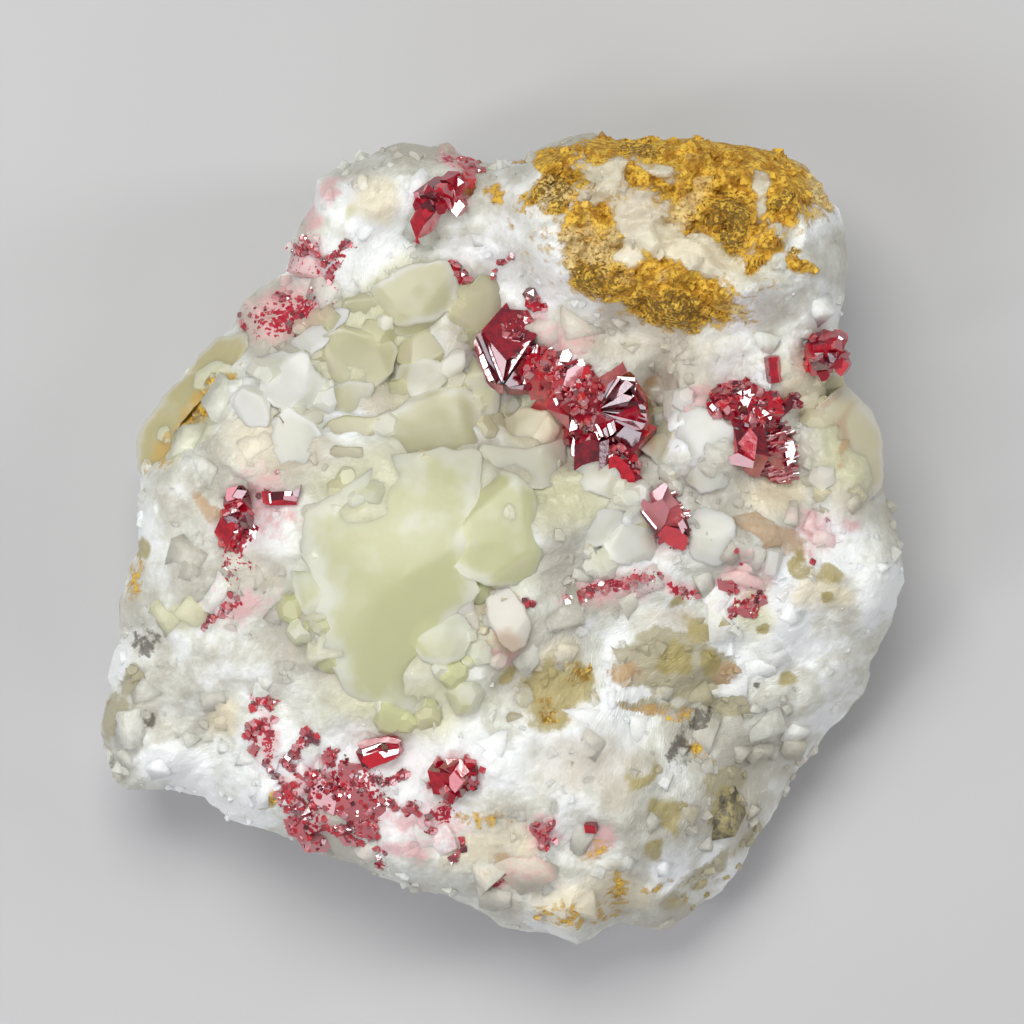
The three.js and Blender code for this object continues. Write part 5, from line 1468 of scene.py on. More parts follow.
# %% Cinnabar faces listed one by one
FLAKES = {
    # solid: height over the bed, lean, brightness, paleness, corners; brightness and paleness are partly
    # painted light: pale faces paint sheen and glints, dark ones paint shade
    "cinnabar_main_group": [
        (1.75, (25, 88), 0.35, 0, [(-1.76, 18.35), (0.48, 20.94), (0.79, 20.33), (2.35, 20.24),
            (3.02, 19.18), (3.21, 18.39), (3.08, 17.78), (0.48, 15.71)]),
        (2.65, "panel_left", 0.4, 0, [(-1.54, 18.3), (0.48, 15.71), (0.18, 14.08)]),
        (2.4, "strip_left", 0.3, 0, [(-1.54, 18.3), (0.18, 14.08), (0.03, 13.9), (-1.76, 18.3)]),
        (2.11, "panel_low_left", 0.15, 0, [(-1.82, 18.22), (-0.04, 13.82), (-0.35, 13.73), (-2.11, 18.04)]),
        (1.71, (45, 200), 0.1, 0, [(-2.17, 17.95), (-0.4, 13.68), (-0.62, 13.68), (-2.33, 17.78)]),
        (1.75, "strip_left", 0.5, 0.4, [(-2.42, 17.34), (-2.24, 17.69), (-1.67, 16.54), (-2.02, 16.1)]),
        (1.7, (22, 205), 0.9, 0.9, [(-1.94, 16.06), (-1.58, 16.37), (-1.14, 15.31), (-1.5, 14.96)]),
        (1.65, "strip_left", 0.5, 0.4, [(-1.5, 14.87), (-1.1, 15.14), (-0.62, 14.08), (-1.01, 13.9)]),
        (1.1, (38, 235), 0.35, 0.3, [(-2.51, 16.98), (-2.02, 16.1), (-1.5, 14.87), (-0.97, 13.9),
            (0.18, 13.6), (0.18, 12.85), (-0.79, 13.07), (-1.63, 14.83), (-2.16, 16.1)]),
        (1.2, (38, 262), 0.3, 0.3, [(0.18, 13.64), (3.52, 13.2), (3.96, 13.02), (2.55, 12.85),
            (0.35, 12.85)]),
        (2.91, "strip_left", 0.4, 0, [(0.18, 13.82), (0.57, 15.66), (2.02, 17.29), (2.64, 17.51)]),
        (2.69, (35, 330), 0.1, 0, [(0.22, 13.82), (2.64, 17.51), (2.95, 17.51)]),
        (2.3, "panel_low_right", 0.3, 0, [(0.35, 13.73), (2.42, 16.72), (2.9, 17.16), (1.94, 13.73),
            (0.7, 13.46)]),
        (2.17, "strip_left", 0.3, 0, [(1.94, 13.73), (2.86, 16.98), (3.02, 16.98), (2.2, 13.73)]),
        (2.05, (40, 350), 0.05, 0, [(2.2, 13.73), (3.02, 16.98), (3.13, 17.25), (2.42, 13.82)]),
        (2.1, "strip_left", 0.3, 0, [(2.42, 13.82), (3.13, 17.25), (3.29, 17.07), (2.68, 13.9)]),
        (1.63, (34, 318), 0.45, 0, [(2.68, 13.9), (3.29, 17.07), (3.48, 16.02), (3.56, 15.31), (3.99, 14.43),
            (3.39, 13.42), (2.46, 13.51)]),
        (1.67, "panel_right", 0.4, 0, [(3.3, 17.07), (3.52, 16.1), (3.84, 15.31), (4.29, 14.1),
            (4.09, 14.08), (3.56, 15.31)]),
        (1.11, "strip_left", 0.4, 0, [(4.29, 14.1), (4.05, 14.17), (3.43, 13.46), (3.52, 13.2)]),
        (1.68, "panel_low_left", 0.3, 0, [(0.35, 13.64), (0.7, 13.46), (1.94, 13.64), (3.34, 13.33),
            (3.34, 13.11), (0.35, 13.38)]),
        (1.5, (24, 60), 0.8, 0.15, [(4.4, 14.43), (4.84, 15.49), (5.54, 15.62), (6.16, 15.05), (5.54, 14.08),
            (5.37, 13.29), (4.49, 13.29)]),
        (1.5, "panel_right", 0.6, 0.4, [(5.1, 15.66), (5.37, 16.54), (5.9, 16.76), (6.25, 16.19),
            (5.9, 15.58)]),
        (1.3, "panel_low_right", 0.75, 0.75, [(5.46, 13.55), (5.81, 14.87), (6.51, 15.31), (7.3, 15.14),
            (7.22, 13.33), (6.07, 13.2)]),
        (1.5, (25, 80), 1, 0, [(7.04, 14.17), (7.22, 15.05), (7.83, 15.14), (7.66, 14.08)]),
        (1.6, (22, 100), 0.75, 0, [(3.96, 11.53), (4.37, 12.56), (5.43, 12.87), (7, 13.09), (6.58, 11.72),
            (5.95, 10.88)]),
        (1.2, (42, 235), 0.5, 0.3, [(3.96, 11.53), (5.95, 10.88), (6.05, 9.59), (5.02, 10.56)]),
        (1.9, "panel_main", 0.5, 0, [(4.58, 12.41), (5.19, 12.58), (5.19, 12.06), (4.84, 11.79)]),
        (2.3, "panel_low_left", 0.3, 0, [(8.8, 12.06), (9.33, 13.55), (9.94, 14.08)]),
        (2.4, "panel_left", 0.3, 0, [(8.89, 11.97), (9.94, 14.08), (10.47, 14.17)]),
        (2.3, (30, 120), 0.1, 0, [(8.98, 11.88), (10.47, 14.17), (11, 13.99)]),
        (2.35, "panel_left", 0.3, 0, [(8.98, 11.88), (10.91, 13.99), (11.53, 13.55), (10.65, 12.76)]),
        (2.3, "panel_main", 0.4, 0, [(10.12, 14.3), (11.7, 14.17), (11.7, 13.86), (10.3, 14.04)]),
        (1.9, (35, 60), 0.1, 0, [(10.65, 14.43), (11.26, 14.74), (11.7, 14.34), (11.62, 14.17),
            (10.47, 14.3)]),
        (2, (40, 30), 0.08, 0, [(11, 13.82), (11.62, 13.82), (11.79, 12.67), (11.44, 12.94)]),
        (2.1, "panel_main", 0.4, 0, [(11.7, 13.82), (11.92, 13.73), (11.62, 12.5), (11.44, 12.67)]),
        (2.4, "panel_left", 0.25, 0, [(8.71, 11.53), (10.65, 12.76), (11.53, 12.5), (11.18, 12.14)]),
        (2.3, (28, 70), 0.15, 0, [(8.71, 11.44), (11.18, 12.14), (12.23, 12.14), (12.32, 11.88)]),
        (2.4, "panel_low_right", 0.3, 0, [(8.71, 11.4), (12.32, 11.88), (12.67, 11.7), (12.72, 11.44)]),
        (2.3, (33, 20), 0.1, 0, [(8.71, 11.35), (12.72, 11.44), (12.76, 11.09)]),
        (2.4, "panel_low_right", 0.35, 0, [(8.8, 11.26), (12.76, 11.09), (12.76, 10.65)]),
        (2.25, "panel_low_left", 0.2, 0, [(8.8, 11.18), (12.76, 10.65), (12.67, 10.21)]),
        (2.35, "panel_low_right", 0.3, 0, [(8.89, 11.09), (12.67, 10.21), (12.32, 9.68)]),
        (2.2, "panel_low_left", 0.25, 0, [(8.89, 11), (12.32, 9.68), (11.7, 9.59), (11, 9.86)]),
        (2.5, "panel_main", 0.4, 0, [(11.7, 9.86), (12.23, 10.21), (12.67, 9.86), (12.32, 9.5)]),
        (2.2, "strip_left", 0.3, 0, [(8.14, 10.47), (8.45, 10.6), (8.98, 9.06), (8.71, 8.98)]),
        (2.1, (35, 20), 0.05, 0, [(8.45, 10.6), (8.62, 10.65), (9.2, 8.93), (8.98, 8.98)]),
        (2.2, "panel_left", 0.3, 0, [(8.62, 10.65), (8.98, 10.74), (9.42, 9.06), (9.2, 8.89)]),
        (2.1, (35, 20), 0.05, 0, [(8.98, 10.74), (9.11, 10.74), (9.59, 9.15), (9.42, 9.06)]),
        (2.2, "strip_left", 0.3, 0, [(9.11, 10.74), (9.42, 10.69), (9.86, 9.33), (9.59, 9.15)]),
        (2.1, "panel_left", 0.35, 0, [(9.42, 10.69), (9.86, 10.52), (10.08, 9.59), (9.86, 9.33)]),
        (1.9, "panel_main", 0.3, 0.3, [(7.92, 9.86), (8.18, 10.21), (8.71, 8.89), (8.54, 8.71)]),
        (1.6, (32, 300), 0.02, 0, [(9.94, 9.06), (10.82, 9.94), (11.7, 9.59), (12.32, 9.42), (12.06, 8.54),
            (11.35, 8.01), (10.3, 8.18)]),
        (1.3, (40, 330), 0.35, 0.3, [(11.88, 9.15), (12.5, 9.42), (12.67, 8.71), (12.14, 8.01)]),
        (1.9, (12, 255), 0.22, 0.02, [(6.42, 8.18), (7.13, 8.62), (7.83, 8.8), (8.62, 8.54), (8.54, 5.46),
            (7.83, 5.28), (6.95, 5.19), (6.38, 6.16)]),
        (1.8, (30, 330), 0.1, 0, [(8.62, 8.54), (9.42, 8.8), (9.33, 5.37), (8.54, 5.46)]),
        (1.35, (30, 280), 0, 0, [(8.71, 8.71), (9.94, 9.06), (10.12, 8.18), (9.24, 7.39), (8.71, 7.48)]),
        (1, (12, 310), 0.8, 0, [(9.42, 7.22), (10.12, 7.39), (11, 6.69), (11.62, 5.81), (11.84, 4.75),
            (11.35, 4.58), (10.65, 5.37), (9.42, 5.46)]),
        (1.3, (30, 40), 0.7, 0, [(9.5, 7.92), (10.3, 8.18), (10.65, 7.48), (9.86, 7.22)]),
        (1.2, (20, 200), 0.9, 0.1, [(6.2, 8.27), (6.42, 9.33), (6.56, 9.15), (6.42, 8.18), (6.42, 6.51),
            (6.25, 6.51)]),
        (1.5, "strip_left", 0.5, 0.2, [(6.34, 9.33), (7.57, 9.77), (7.83, 9.5), (6.69, 8.8)]),
    ],
    "cinnabar_right_group": [
        (1.75, (26, 215), 0.95, 0, [(21.75, 9.84), (19.75, 7.23), (20.68, 7.66), (22.13, 6.91),
            (22.26, 7.92), (22.35, 8.89)]),
        (1.9, "panel_low_left", 0.8, 0.2, [(21.74, 9.77), (21.12, 9.02), (22.18, 8.62), (22.35, 8.98)]),
        (1.25, "panel_low_left", 0.5, 0.3, [(19.71, 7.22), (20.68, 7.61), (22.09, 6.86), (21.97, 6.27),
            (19.97, 6.64)]),
        (1.9, (24, 240), 1, 0, [(20.86, 8.01), (21.38, 8.62), (21.91, 8.45), (22.09, 7.13), (21.47, 7.48)]),
        (1.5, (36, 320), 0.25, 0, [(23.5, 10.43), (25.87, 12.5), (26.22, 12.14), (23.94, 10.03)]),
        (1.6, (30, 130), 0.1, 0, [(23.32, 10.65), (25.52, 12.67), (25.87, 12.5), (23.5, 10.43)]),
        (1.2, (28, 120), 0.7, 0.1, [(18.92, 12.94), (19.45, 13.11), (20.42, 12.67), (19.98, 12.06),
            (19.1, 12.32)]),
        (1.6, (42, 95), 0, 0, [(20.33, 12.5), (21.47, 12.76), (21.65, 12.41), (20.5, 12.23)]),
        (1.7, (30, 90), 0.95, 0.2, [(20.15, 12.67), (21.47, 13.02), (21.74, 12.76), (20.5, 12.45)]),
        (1.6, (26, 10), 0.75, 0.3, [(24.96, 8.54), (25.7, 8.71), (25.92, 7.92), (25.61, 6.86), (25.17, 6.51),
            (24.99, 7.74)]),
    ],
    "cinnabar_tablet": [
        (1.5, "panel_left", 0.5, 0.2, [(12.39, 3.59), (14.28, 5.06), (14.56, 4.75), (14.08, 3.61),
            (13.11, 3.21)]),
        (1.35, (24, 60), 0.75, 0.7, [(14.08, 3.61), (14.57, 4.84), (15.03, 3.82), (15.61, 3.13),
            (14.7, 2.64)]),
        (1.3, (16, 250), 0.55, 0.6, [(11.99, 2.61), (12.39, 3.59), (13.11, 3.21), (14.08, 3.61),
            (14.7, 2.64), (14.34, 1.41), (13.64, 0.53), (12.76, 1.67)]),
        (1.2, (42, 215), 0.02, 0, [(12, 2.6), (12.14, 2.64), (13.64, 0.66), (13.55, 0.44)]),
        (1.55, "strip_left", 0.5, 0.4, [(12.28, 2.46), (12.45, 2.51), (13.6, 1.1), (13.51, 0.92)]),
        (1.45, (20, 330), 0.85, 0.25, [(14.43, 2.46), (15.61, 3.08), (16.1, 1.85), (15.75, 1.14),
            (14.34, 1.32)]),
        (1.65, "panel_low_right", 0.4, 0, [(15.44, 1.41), (15.88, 1.85), (16.28, 1.06), (15.84, 0.53)]),
        (1.2, (38, 10), 0.1, 0, [(16.1, 2.16), (16.47, 1.12), (16.41, 0.26), (16.02, 0.97)]),
        (1.2, (22, 290), 0.9, 0.1, [(13.64, 0.44), (14.34, 1.32), (15.75, 0.88), (16.37, 0.18),
            (16.18, -0.78), (15.89, -0.95), (14.57, -0.38)]),
    ],
    "cinnabar_rod_left": [
        (1.35, (9, 200), 0.7, 0, [(-20.93, 4.29), (-20.06, 4.27), (-19.98, 3.04), (-20.07, 3.02),
            (-20.79, 3.23)]),
        (1.55, "panel_main", 0.8, 0.9, [(-20.28, 4.05), (-20.15, 4.09), (-20.02, 3.26), (-20.15, 3.21)]),
        (1.45, (28, 100), 0.02, 0, [(-19.98, 4.22), (-18.83, 4.27), (-18.92, 3.52), (-19.89, 3.43)]),
        (1.2, (34, 265), 0.8, 0, [(-19.98, 3.43), (-18.92, 3.52), (-17.78, 3.34), (-17.8, 3.08),
            (-20.06, 3.02)]),
        (1.5, "panel_main", 0.6, 0, [(-18.83, 4.27), (-18.22, 4.27), (-18.3, 3.87), (-18.83, 3.87)]),
        (1.35, (26, 320), 0.6, 0, [(-18.92, 3.87), (-18.22, 3.87), (-17.69, 4.14), (-17.78, 3.34),
            (-18.92, 3.52)]),
        (1.4, "panel_left", 0.3, 0, [(-18.17, 4.27), (-17.6, 4.44), (-17.4, 4.88), (-17.64, 3.78),
            (-18.13, 3.87)]),
    ],
    "cinnabar_column": [
        (1.4, (26, 230), 0.85, 0, [(-23.99, 4.51), (-22.97, 4.75), (-23.58, 3.78), (-22.97, 3.43),
            (-22.56, 3.23), (-23.21, 2.67), (-23.7, 2.88), (-24.13, 3.66)]),
        (1.6, "panel_left", 0.4, 0, [(-23.58, 3.78), (-23.14, 4.44), (-22.18, 4.31), (-22.7, 3.56)]),
        (1.4, (34, 60), 0.15, 0, [(-22.97, 4.75), (-22.63, 4.8), (-22.07, 4.29), (-22.21, 3.8),
            (-22.44, 4.05), (-22.26, 4.31)]),
        (1.75, "panel_main", 0.4, 0, [(-23.5, 0.88), (-23.23, 1.28), (-22.97, 1.06), (-23.01, 0.62),
            (-23.32, 0.62)]),
        (1.55, "panel_main", 0.6, 0, [(-23.76, 2.24), (-23.23, 2.77), (-23.14, 2.6), (-23.67, 2.02)]),
    ],
    "cinnabar_lower_block": [
        (1.55, (16, 280), 1, 0, [(-12.14, -19.4), (-12.01, -18.88), (-10.74, -18.44), (-10.21, -19.01),
            (-8.98, -18.66), (-9.33, -19.14), (-11.4, -19.98)]),
        (1.45, (14, 110), 0.75, 0.1, [(-12.01, -18.88), (-12.23, -18.22), (-10.56, -17.78), (-9.59, -17.6),
            (-8.89, -17.86), (-8.98, -18.66), (-10.21, -19.01), (-10.74, -18.44)]),
        (1.75, (40, 80), 0, 0, [(-10.47, -17.69), (-9.86, -18.04), (-10.03, -18.48), (-10.38, -18.3)]),
        (1.2, (22, 100), 0.7, 0.6, [(-12.58, -17.95), (-11.99, -17.48), (-9.91, -17.18), (-8.71, -17.48),
            (-8.89, -17.78), (-10.56, -17.69), (-12.23, -18.22)]),
        (1.75, "panel_main", 0.5, 0.5, [(-11.88, -18.39), (-10.82, -17.95), (-10.77, -18.06),
            (-11.83, -18.52)]),
        (1.3, "panel_main", 0.5, 0.6, [(-10.12, -19.11), (-8.84, -18.69), (-8.8, -18.81), (-10.08, -19.24)]),
    ],
    "cinnabar_star": [
        (1.5, (20, 80), 0.85, 0.1, [(-4.84, -19.1), (-3.52, -19.1), (-2.75, -20.16), (-3.34, -20.68),
            (-4.49, -20.15)]),
        (1.3, (30, 350), 1, 0, [(-3.34, -20.68), (-2.75, -20.16), (-2.02, -20.68), (-2.98, -21.05)]),
        (1.35, (24, 200), 0.6, 0, [(-4.84, -20.15), (-4.49, -20.15), (-3.34, -20.68), (-3.78, -21.38),
            (-4.75, -21.21)]),
        (1.65, "panel_main", 0.6, 0.5, [(-4.58, -20.42), (-3.61, -20.81), (-3.7, -20.99), (-4.66, -20.64)]),
    ],
}
print("hand-placed faces:", {node: len(rows) for node, rows in FLAKES.items()})

# %% [markdown]
# ## Cinnabar crystals under the faces
# Under and beside the flakes each solid has whole crystals, cut from one of the forms: grains, rhombs and
# short prisms. Some carry a growth of smaller crystals, from coarse steps to a fine sugar. They are listed
# by solid, so that each keeps the place of its socket.

# %% Cinnabar crystals by solid
CINNABAR = {
    # solid: its crystals: form, x, y, lift, half sizes, heading, tilt, spin, what grows on it
    "cinnabar_main_group": [
        ("rhomb", 0.6, 16.9, -0.6, 2, 2.2, 1.7, 0, 4, 2, "bare"),
        ("grain", 4.5, 14.9, 0.6, 1.9, 1.6, 1.5, 20, 20, 10, "grains"),
        ("grain", 5.8, 11.9, -0.2, 1.9, 1.7, 1.4, 310, 25, 30, "bare"),
        ("grain", 7.6, 12.6, 0.8, 1.6, 2, 1.6, 60, 15, 0, "grains"),
        ("rhomb", 10.3, 13.3, -0.3, 1.4, 1.5, 1.6, 40, 30, 15, "bare"),
        ("rhomb", 10.7, 11.3, -0.3, 1.9, 1.7, 1.6, 0, 25, 50, "bare"),
        ("rhomb", 9.2, 10, -0.3, 1.5, 1.4, 1.5, 280, 20, 20, "bare"),
        ("grain", 7.3, 10.7, 0.8, 1.6, 1.7, 1.3, 200, 25, 0, "grains"),
        ("grain", 11.3, 8.9, -0.3, 1.6, 1.3, 1.3, 320, 20, 40, "bare"),
        ("blunt", 7.9, 7.3, 0, 1.45, 1.2, 2.3, 88, 82, 0, "bare"),
        ("prism", 10.5, 6.3, 0.2, 0.9, 0.8, 1.5, 300, 80, 15, "grains"),
    ],
    "cinnabar_right_group": [
        ("grain", 19.9, 12, 0.3, 1.4, 1.2, 1.2, 30, 20, 0, "grains"),
        ("grain", 21.4, 12.1, 0.4, 1.6, 1.2, 1.2, 100, 18, 20, "grains"),
        ("grain", 23, 11.3, 0.4, 1.3, 1.2, 1.1, 200, 22, 5, "grains"),
        ("rhomb", 23.6, 7.6, 0.1, 1.7, 1.9, 1.7, 10, 8, 24, "laths"),
        ("rhomb", 21.4, 8.1, 0.3, 1.4, 1.7, 1.4, 200, 20, 0, "bare"),
        ("prism", 24.5, 11.4, 0.6, 0.38, 0.38, 2, 41, 78, 0, "bare"),
    ],
    "cinnabar_tablet": [("blunt", 14.4, 2.2, 0.3, 0.95, 1.45, 3.1, 303, 84, 0, "laths")],
    "cinnabar_edge_cluster": [
        ("grain", 28.7, 16.7, 2.5, 1.15, 1.2, 1.2, 30, 35, 0, "coarse"),
        ("rhomb", 28, 16, 1.7, 1, 1, 1.2, 190, 20, 30, "coarse"),
        ("rhomb", 29, 17.4, 2.4, 0.8, 0.7, 0.9, 80, 40, 10, "bare"),
    ],
    "cinnabar_rod_upper": [("prism", 23.9, 15, 0.2, 0.65, 0.6, 1.15, 98, 80, 0, "bare")],
    "cinnabar_top_blade": [
        ("grain", -4.9, 30.5, 0.4, 1.9, 1, 0.9, 20, 10, 0, "coarse"),
        ("grain", -6.4, 28.6, 0.4, 0.75, 1.5, 0.8, 335, 10, 0, "coarse"),
        ("prism", -6.9, 27.2, 0.2, 0.4, 0.35, 1.2, 70, 82, 0, "bare"),
    ],
    "cinnabar_drop": [("grain", -4.2, 23.1, 0.5, 1, 1, 0.9, 60, 15, 20, "grains")],
    "cinnabar_top_bead": [("grain", -2.7, 32.6, 0.5, 0.9, 0.55, 0.7, 345, 12, 0, "fine")],
    "cinnabar_column": [
        ("rhomb", -23.1, 3.5, 0.4, 0.9, 0.85, 0.9, 20, 15, 30, "bare"),
        ("grain", -23.4, 1.3, 0.5, 0.95, 1.4, 1, 340, 12, 0, "coarse"),
        ("grain", -23.8, -0.4, 0.2, 0.6, 0.65, 0.6, 0, 10, 20, "grains"),
    ],
    "cinnabar_column_side": [("prism", -21.4, 0.3, 0.3, 0.5, 0.5, 1, 300, 80, 0, "fine")],
    "cinnabar_rod_left": [("prism", -19, 3.9, 0.3, 0.66, 0.64, 1.7, 3, 86, 10, "bare")],
    "cinnabar_step_crystal": [("grain", -16.7, 19.6, 0.5, 0.95, 1.15, 0.9, 30, 15, 0, "fine")],
    "cinnabar_step_strip": [("prism", -14.3, 24.4, 0.3, 0.5, 0.4, 1.8, 55, 84, 0, "fine")],
    "cinnabar_step_bead": [("grain", -19.5, 21.3, 0.4, 0.65, 0.55, 0.5, 0, 15, 0, "fine")],
    "cinnabar_lower_block": [("blunt", -10.6, -18.5, 0.4, 1.15, 1.05, 1.9, 24, 84, 12, "bare")],
    "cinnabar_grain_patch": [
        ("grain", -14.4, -21.9, 0.2, 1.9, 1.4, 0.9, 350, 8, 0, "fine"),
        ("grain", -12.2, -22.6, 0.2, 1.7, 1.5, 0.9, 20, 8, 40, "fine"),
        ("grain", -12.6, -20.6, 0.2, 1.1, 1.4, 0.8, 10, 8, 0, "fine"),
    ],
    "cinnabar_patch_left": [("grain", -17.2, -20.6, 0.3, 1, 1, 0.7, 40, 10, 0, "fine")],
    "cinnabar_patch_top": [("grain", -15.1, -18.7, 0.3, 0.85, 0.75, 0.7, 0, 12, 10, "fine")],
    "cinnabar_star": [
        ("rhomb", -4.3, -20.5, 0.4, 1.4, 1.3, 1.1, 10, 12, 10, "coarse"),
        ("rhomb", -2.9, -20.7, 0.4, 0.8, 0.7, 0.8, 340, 25, 40, "grains"),
    ],
    "cinnabar_vein_lower": [
        ("grain", -17.9, -24.6, 0.3, 0.9, 1.3, 0.8, 20, 10, 0, "fine"),
        ("grain", -16.5, -26.2, 0.4, 1.2, 1, 0.8, 320, 10, 10, "fine"),
    ],
    "cinnabar_vein_upper": [("prism", -19.3, -22.6, 0.2, 0.4, 0.4, 1.2, 305, 80, 0, "fine")],
    "cinnabar_seed_round": [("grain", -11.6, -25, 0.3, 0.95, 0.85, 0.8, 10, 12, 10, "fine")],
    "cinnabar_seed_tail": [("grain", -13.3, -26.1, 0.3, 0.65, 0.6, 0.6, 0, 12, 30, "fine")],
    "cinnabar_seed_dark": [("rhomb", -7.9, -23.5, 0.3, 0.6, 0.6, 0.6, 30, 15, 10, "fine")],
    "cinnabar_seed_pale": [("grain", -4.9, -22.9, 0.2, 0.65, 0.45, 0.6, 10, 10, 0, "fine")],
    "cinnabar_strip_lower": [("prism", -7.4, -25.5, 0.2, 0.45, 0.4, 1.4, 12, 84, 0, "fine")],
    "cinnabar_lower_right": [("grain", 3.5, -25.7, 0.4, 0.7, 0.95, 0.8, 10, 12, 0, "fine")],
    "cinnabar_dot": [("rhomb", 8, -25.1, 0.3, 0.5, 0.45, 0.5, 20, 15, 0, "bare")],
    "cinnabar_crescent": [
        ("grain", 21.6, -5.9, 0.2, 1.2, 0.6, 0.8, 22, 12, 0, "fine"),
        ("grain", 22.8, -5.1, 0.2, 0.6, 0.6, 0.7, 50, 12, 0, "fine"),
    ],
    "cinnabar_crescent_seed": [("grain", 20.1, -3.7, 0.3, 0.75, 0.65, 0.7, 20, 14, 0, "fine")],
    "cinnabar_left_vein": [("grain", -20.6, -14.4, 0.2, 0.8, 0.75, 0.6, 0, 12, 0, "fine")],
    "cinnabar_left_vein_tail": [("prism", -21.5, -17.9, 0.2, 0.45, 0.45, 1, 62, 82, 0, "fine")],
    "cinnabar_right_seed": [("grain", 28.1, 2.6, 0.4, 0.5, 0.8, 0.6, 20, 12, 0, "fine")],
}
print("cinnabar crystals:", sum(map(len, CINNABAR.values())))

# %% [markdown]
# ## Growth on the crystals
# Real cinnabar is rarely bare: steps, small grains and thin laths grow on its faces. Bump in the finish
# could hint at them, but only real small crystals catch the light at their edges. So each kind of growth
# has a density, a size and a form, and some places have a patch of small crystals of their own.

# %% Growth on the crystals
GROWN_ON = {
    # what grows on a crystal: how many to a square mm, half sizes, form, stretch
    "grains": (7.0, (0.14, 0.36), "grain", (1, 1, 1)),
    "coarse": (2.0, (0.3, 0.7), "grain", (1, 0.8, 1)),
    "laths": (9.0, (0.16, 0.3), "prism", (0.5, 0.5, 2.6)),
    "fine": (8.0, (0.1, 0.26), "grain", (1, 1, 1)),
}
PALER = {"laths": 0.3, "fine": 0.02}
FINE_SUNK, FINE_PALE = 0.6, 0.42  # a crystal that is all fine grains lies lower, in mm, and looks paler
MOST_PALE = 0.9
STREWN = {
    # solid: more small crystals: middle, half sizes, turn, height over the bed, tilt and heading, how many,
    # least and most half size
    "cinnabar_main_group": [
        (1.3, 18.7, 1.5, 1, 0, 1.75, 25, 88, 60, 0.12, 0.34),
        (1.3, 17, 0.9, 0.7, 0, 2.35, 25, 88, 34, 0.12, 0.32),
        (2.7, 21, 0.55, 0.6, 0, 0.9, 0, 0, 9, 0.25, 0.5),
        (3.6, 20.4, 0.5, 0.25, 10, 0.5, 0, 0, 6, 0.12, 0.25),
        (7.5, 11.2, 1.2, 1.6, 0, 1.5, 20, 180, 60, 0.12, 0.34),
        (10.4, 6.6, 1.4, 1.8, 20, 0.6, 10, 300, 50, 0.15, 0.4),
        (6, 14, 1.6, 1.8, 0, 1.2, 10, 90, 40, 0.12, 0.34),
    ],
    "cinnabar_right_group": [
        (25.8, 12.3, 0.45, 0.6, 40, 1.5, 0, 0, 14, 0.14, 0.3),
        (19.1, 11.4, 0.7, 0.5, 0, 1, 0, 0, 14, 0.15, 0.34),
        (21, 11.8, 2, 1, 0, 1.2, 0, 0, 60, 0.14, 0.36),
    ],
}
print("patches of small cinnabar:", sum(map(len, STREWN.values())))

# %% [markdown]
# ## Cinnabar pieces
# One mesh for each solid joins its crystals, what grows on them, its flakes and its patches of small
# crystals. Every face keeps its own brightness and paleness, so that two faces of one crystal never look
# alike; on the flakes they are partly painted light and shade.

# %% Cinnabar pieces
def strewn_patch(x, y, rx, ry, turn, lift, tilt, heading, count, least, most, seed):
    """Small cuts over a leaning ellipse: z = bed + lift - tan(tilt) * way along the heading."""
    px, py = ellipse_places(x, y, rx, ry, turn, count, seed)
    way = math.radians(heading)
    z = float(bed_height(x, y)) + lift
    z = z - math.tan(math.radians(tilt)) * ((px - x) * math.cos(way) + (py - y) * math.sin(way))
    return small_cuts(np.column_stack([px, py, z]), (least, most), seed)


def cinnabar_parts(node):
    """All crystals of one solid, as (points, faces, brightness of each face, paleness of each face)."""
    parts = []
    for k, (*row, kind) in enumerate(CINNABAR[node]):
        if kind == "fine":
            row[3] -= FINE_SUNK
        points, faces = cut_row(*row)
        sides = len(faces)
        pale = FINE_PALE if kind == "fine" else 0.0
        parts.append((points, faces, 0.2 + 0.6 * number_rows(sides, 60 + k, 1)[0], np.full(sides, pale)))
        if kind in GROWN_ON:
            dense, sizes, form, stretch = GROWN_ON[kind]
            half = sorted(row[4:7])[1:]
            places = strewn(points, faces, int(dense * math.pi * half[0] * half[1]), 500 + 11 * k)
            heading = 15 if kind == "laths" else None
            *grown_parts, haze = small_cuts(places, sizes, 700 + 13 * k, form, stretch, heading)
            parts.append((*grown_parts, np.clip(haze + PALER.get(kind, 0), 0, MOST_PALE)))
    # The flakes' brightness and paleness are partly painted light: pale faces paint sheen and glints, dark
    # faces paint shade.
    for lift, lean, tone, haze, corners in FLAKES.get(node, ()):
        points, faces = flake(lift, lean, corners)
        sides = len(corners) + 2
        parts.append((points, faces, np.full(sides, tone), np.full(sides, haze)))
    for k, row in enumerate(STREWN.get(node, ())):
        parts.append(strewn_patch(*row, 900 + 17 * k))
    return parts


for node in CINNABAR:
    parts = cinnabar_parts(node)
    points, faces = joined([part[:2] for part in parts])
    piece = put_mesh(node.replace("cinnabar_", "cinnabar_grown_"), points, faces)
    tone, haze = (np.concatenate([part[k] for part in parts]) for k in (2, 3))
    note(piece, "FACE", tone=tone, haze=haze)
    seat(piece, "cinnabar", red_look, node)
cinnabar_pieces = [o for o in bpy.data.objects if o.name.startswith("cinnabar_grown_")]
print("cinnabar pieces:", len(cinnabar_pieces), "triangles:", sum(map(triangles, cinnabar_pieces)))

# %% [markdown]
# ## Small crystals on a loose grid
# Between the large crystals the rock is covered with small ones. Wholly random places clump and leave
# holes; a loose grid, with each place pushed about inside its cell, covers the rock evenly and each place
# can be kept or left by what grows there. None is put where a calcite block lies.

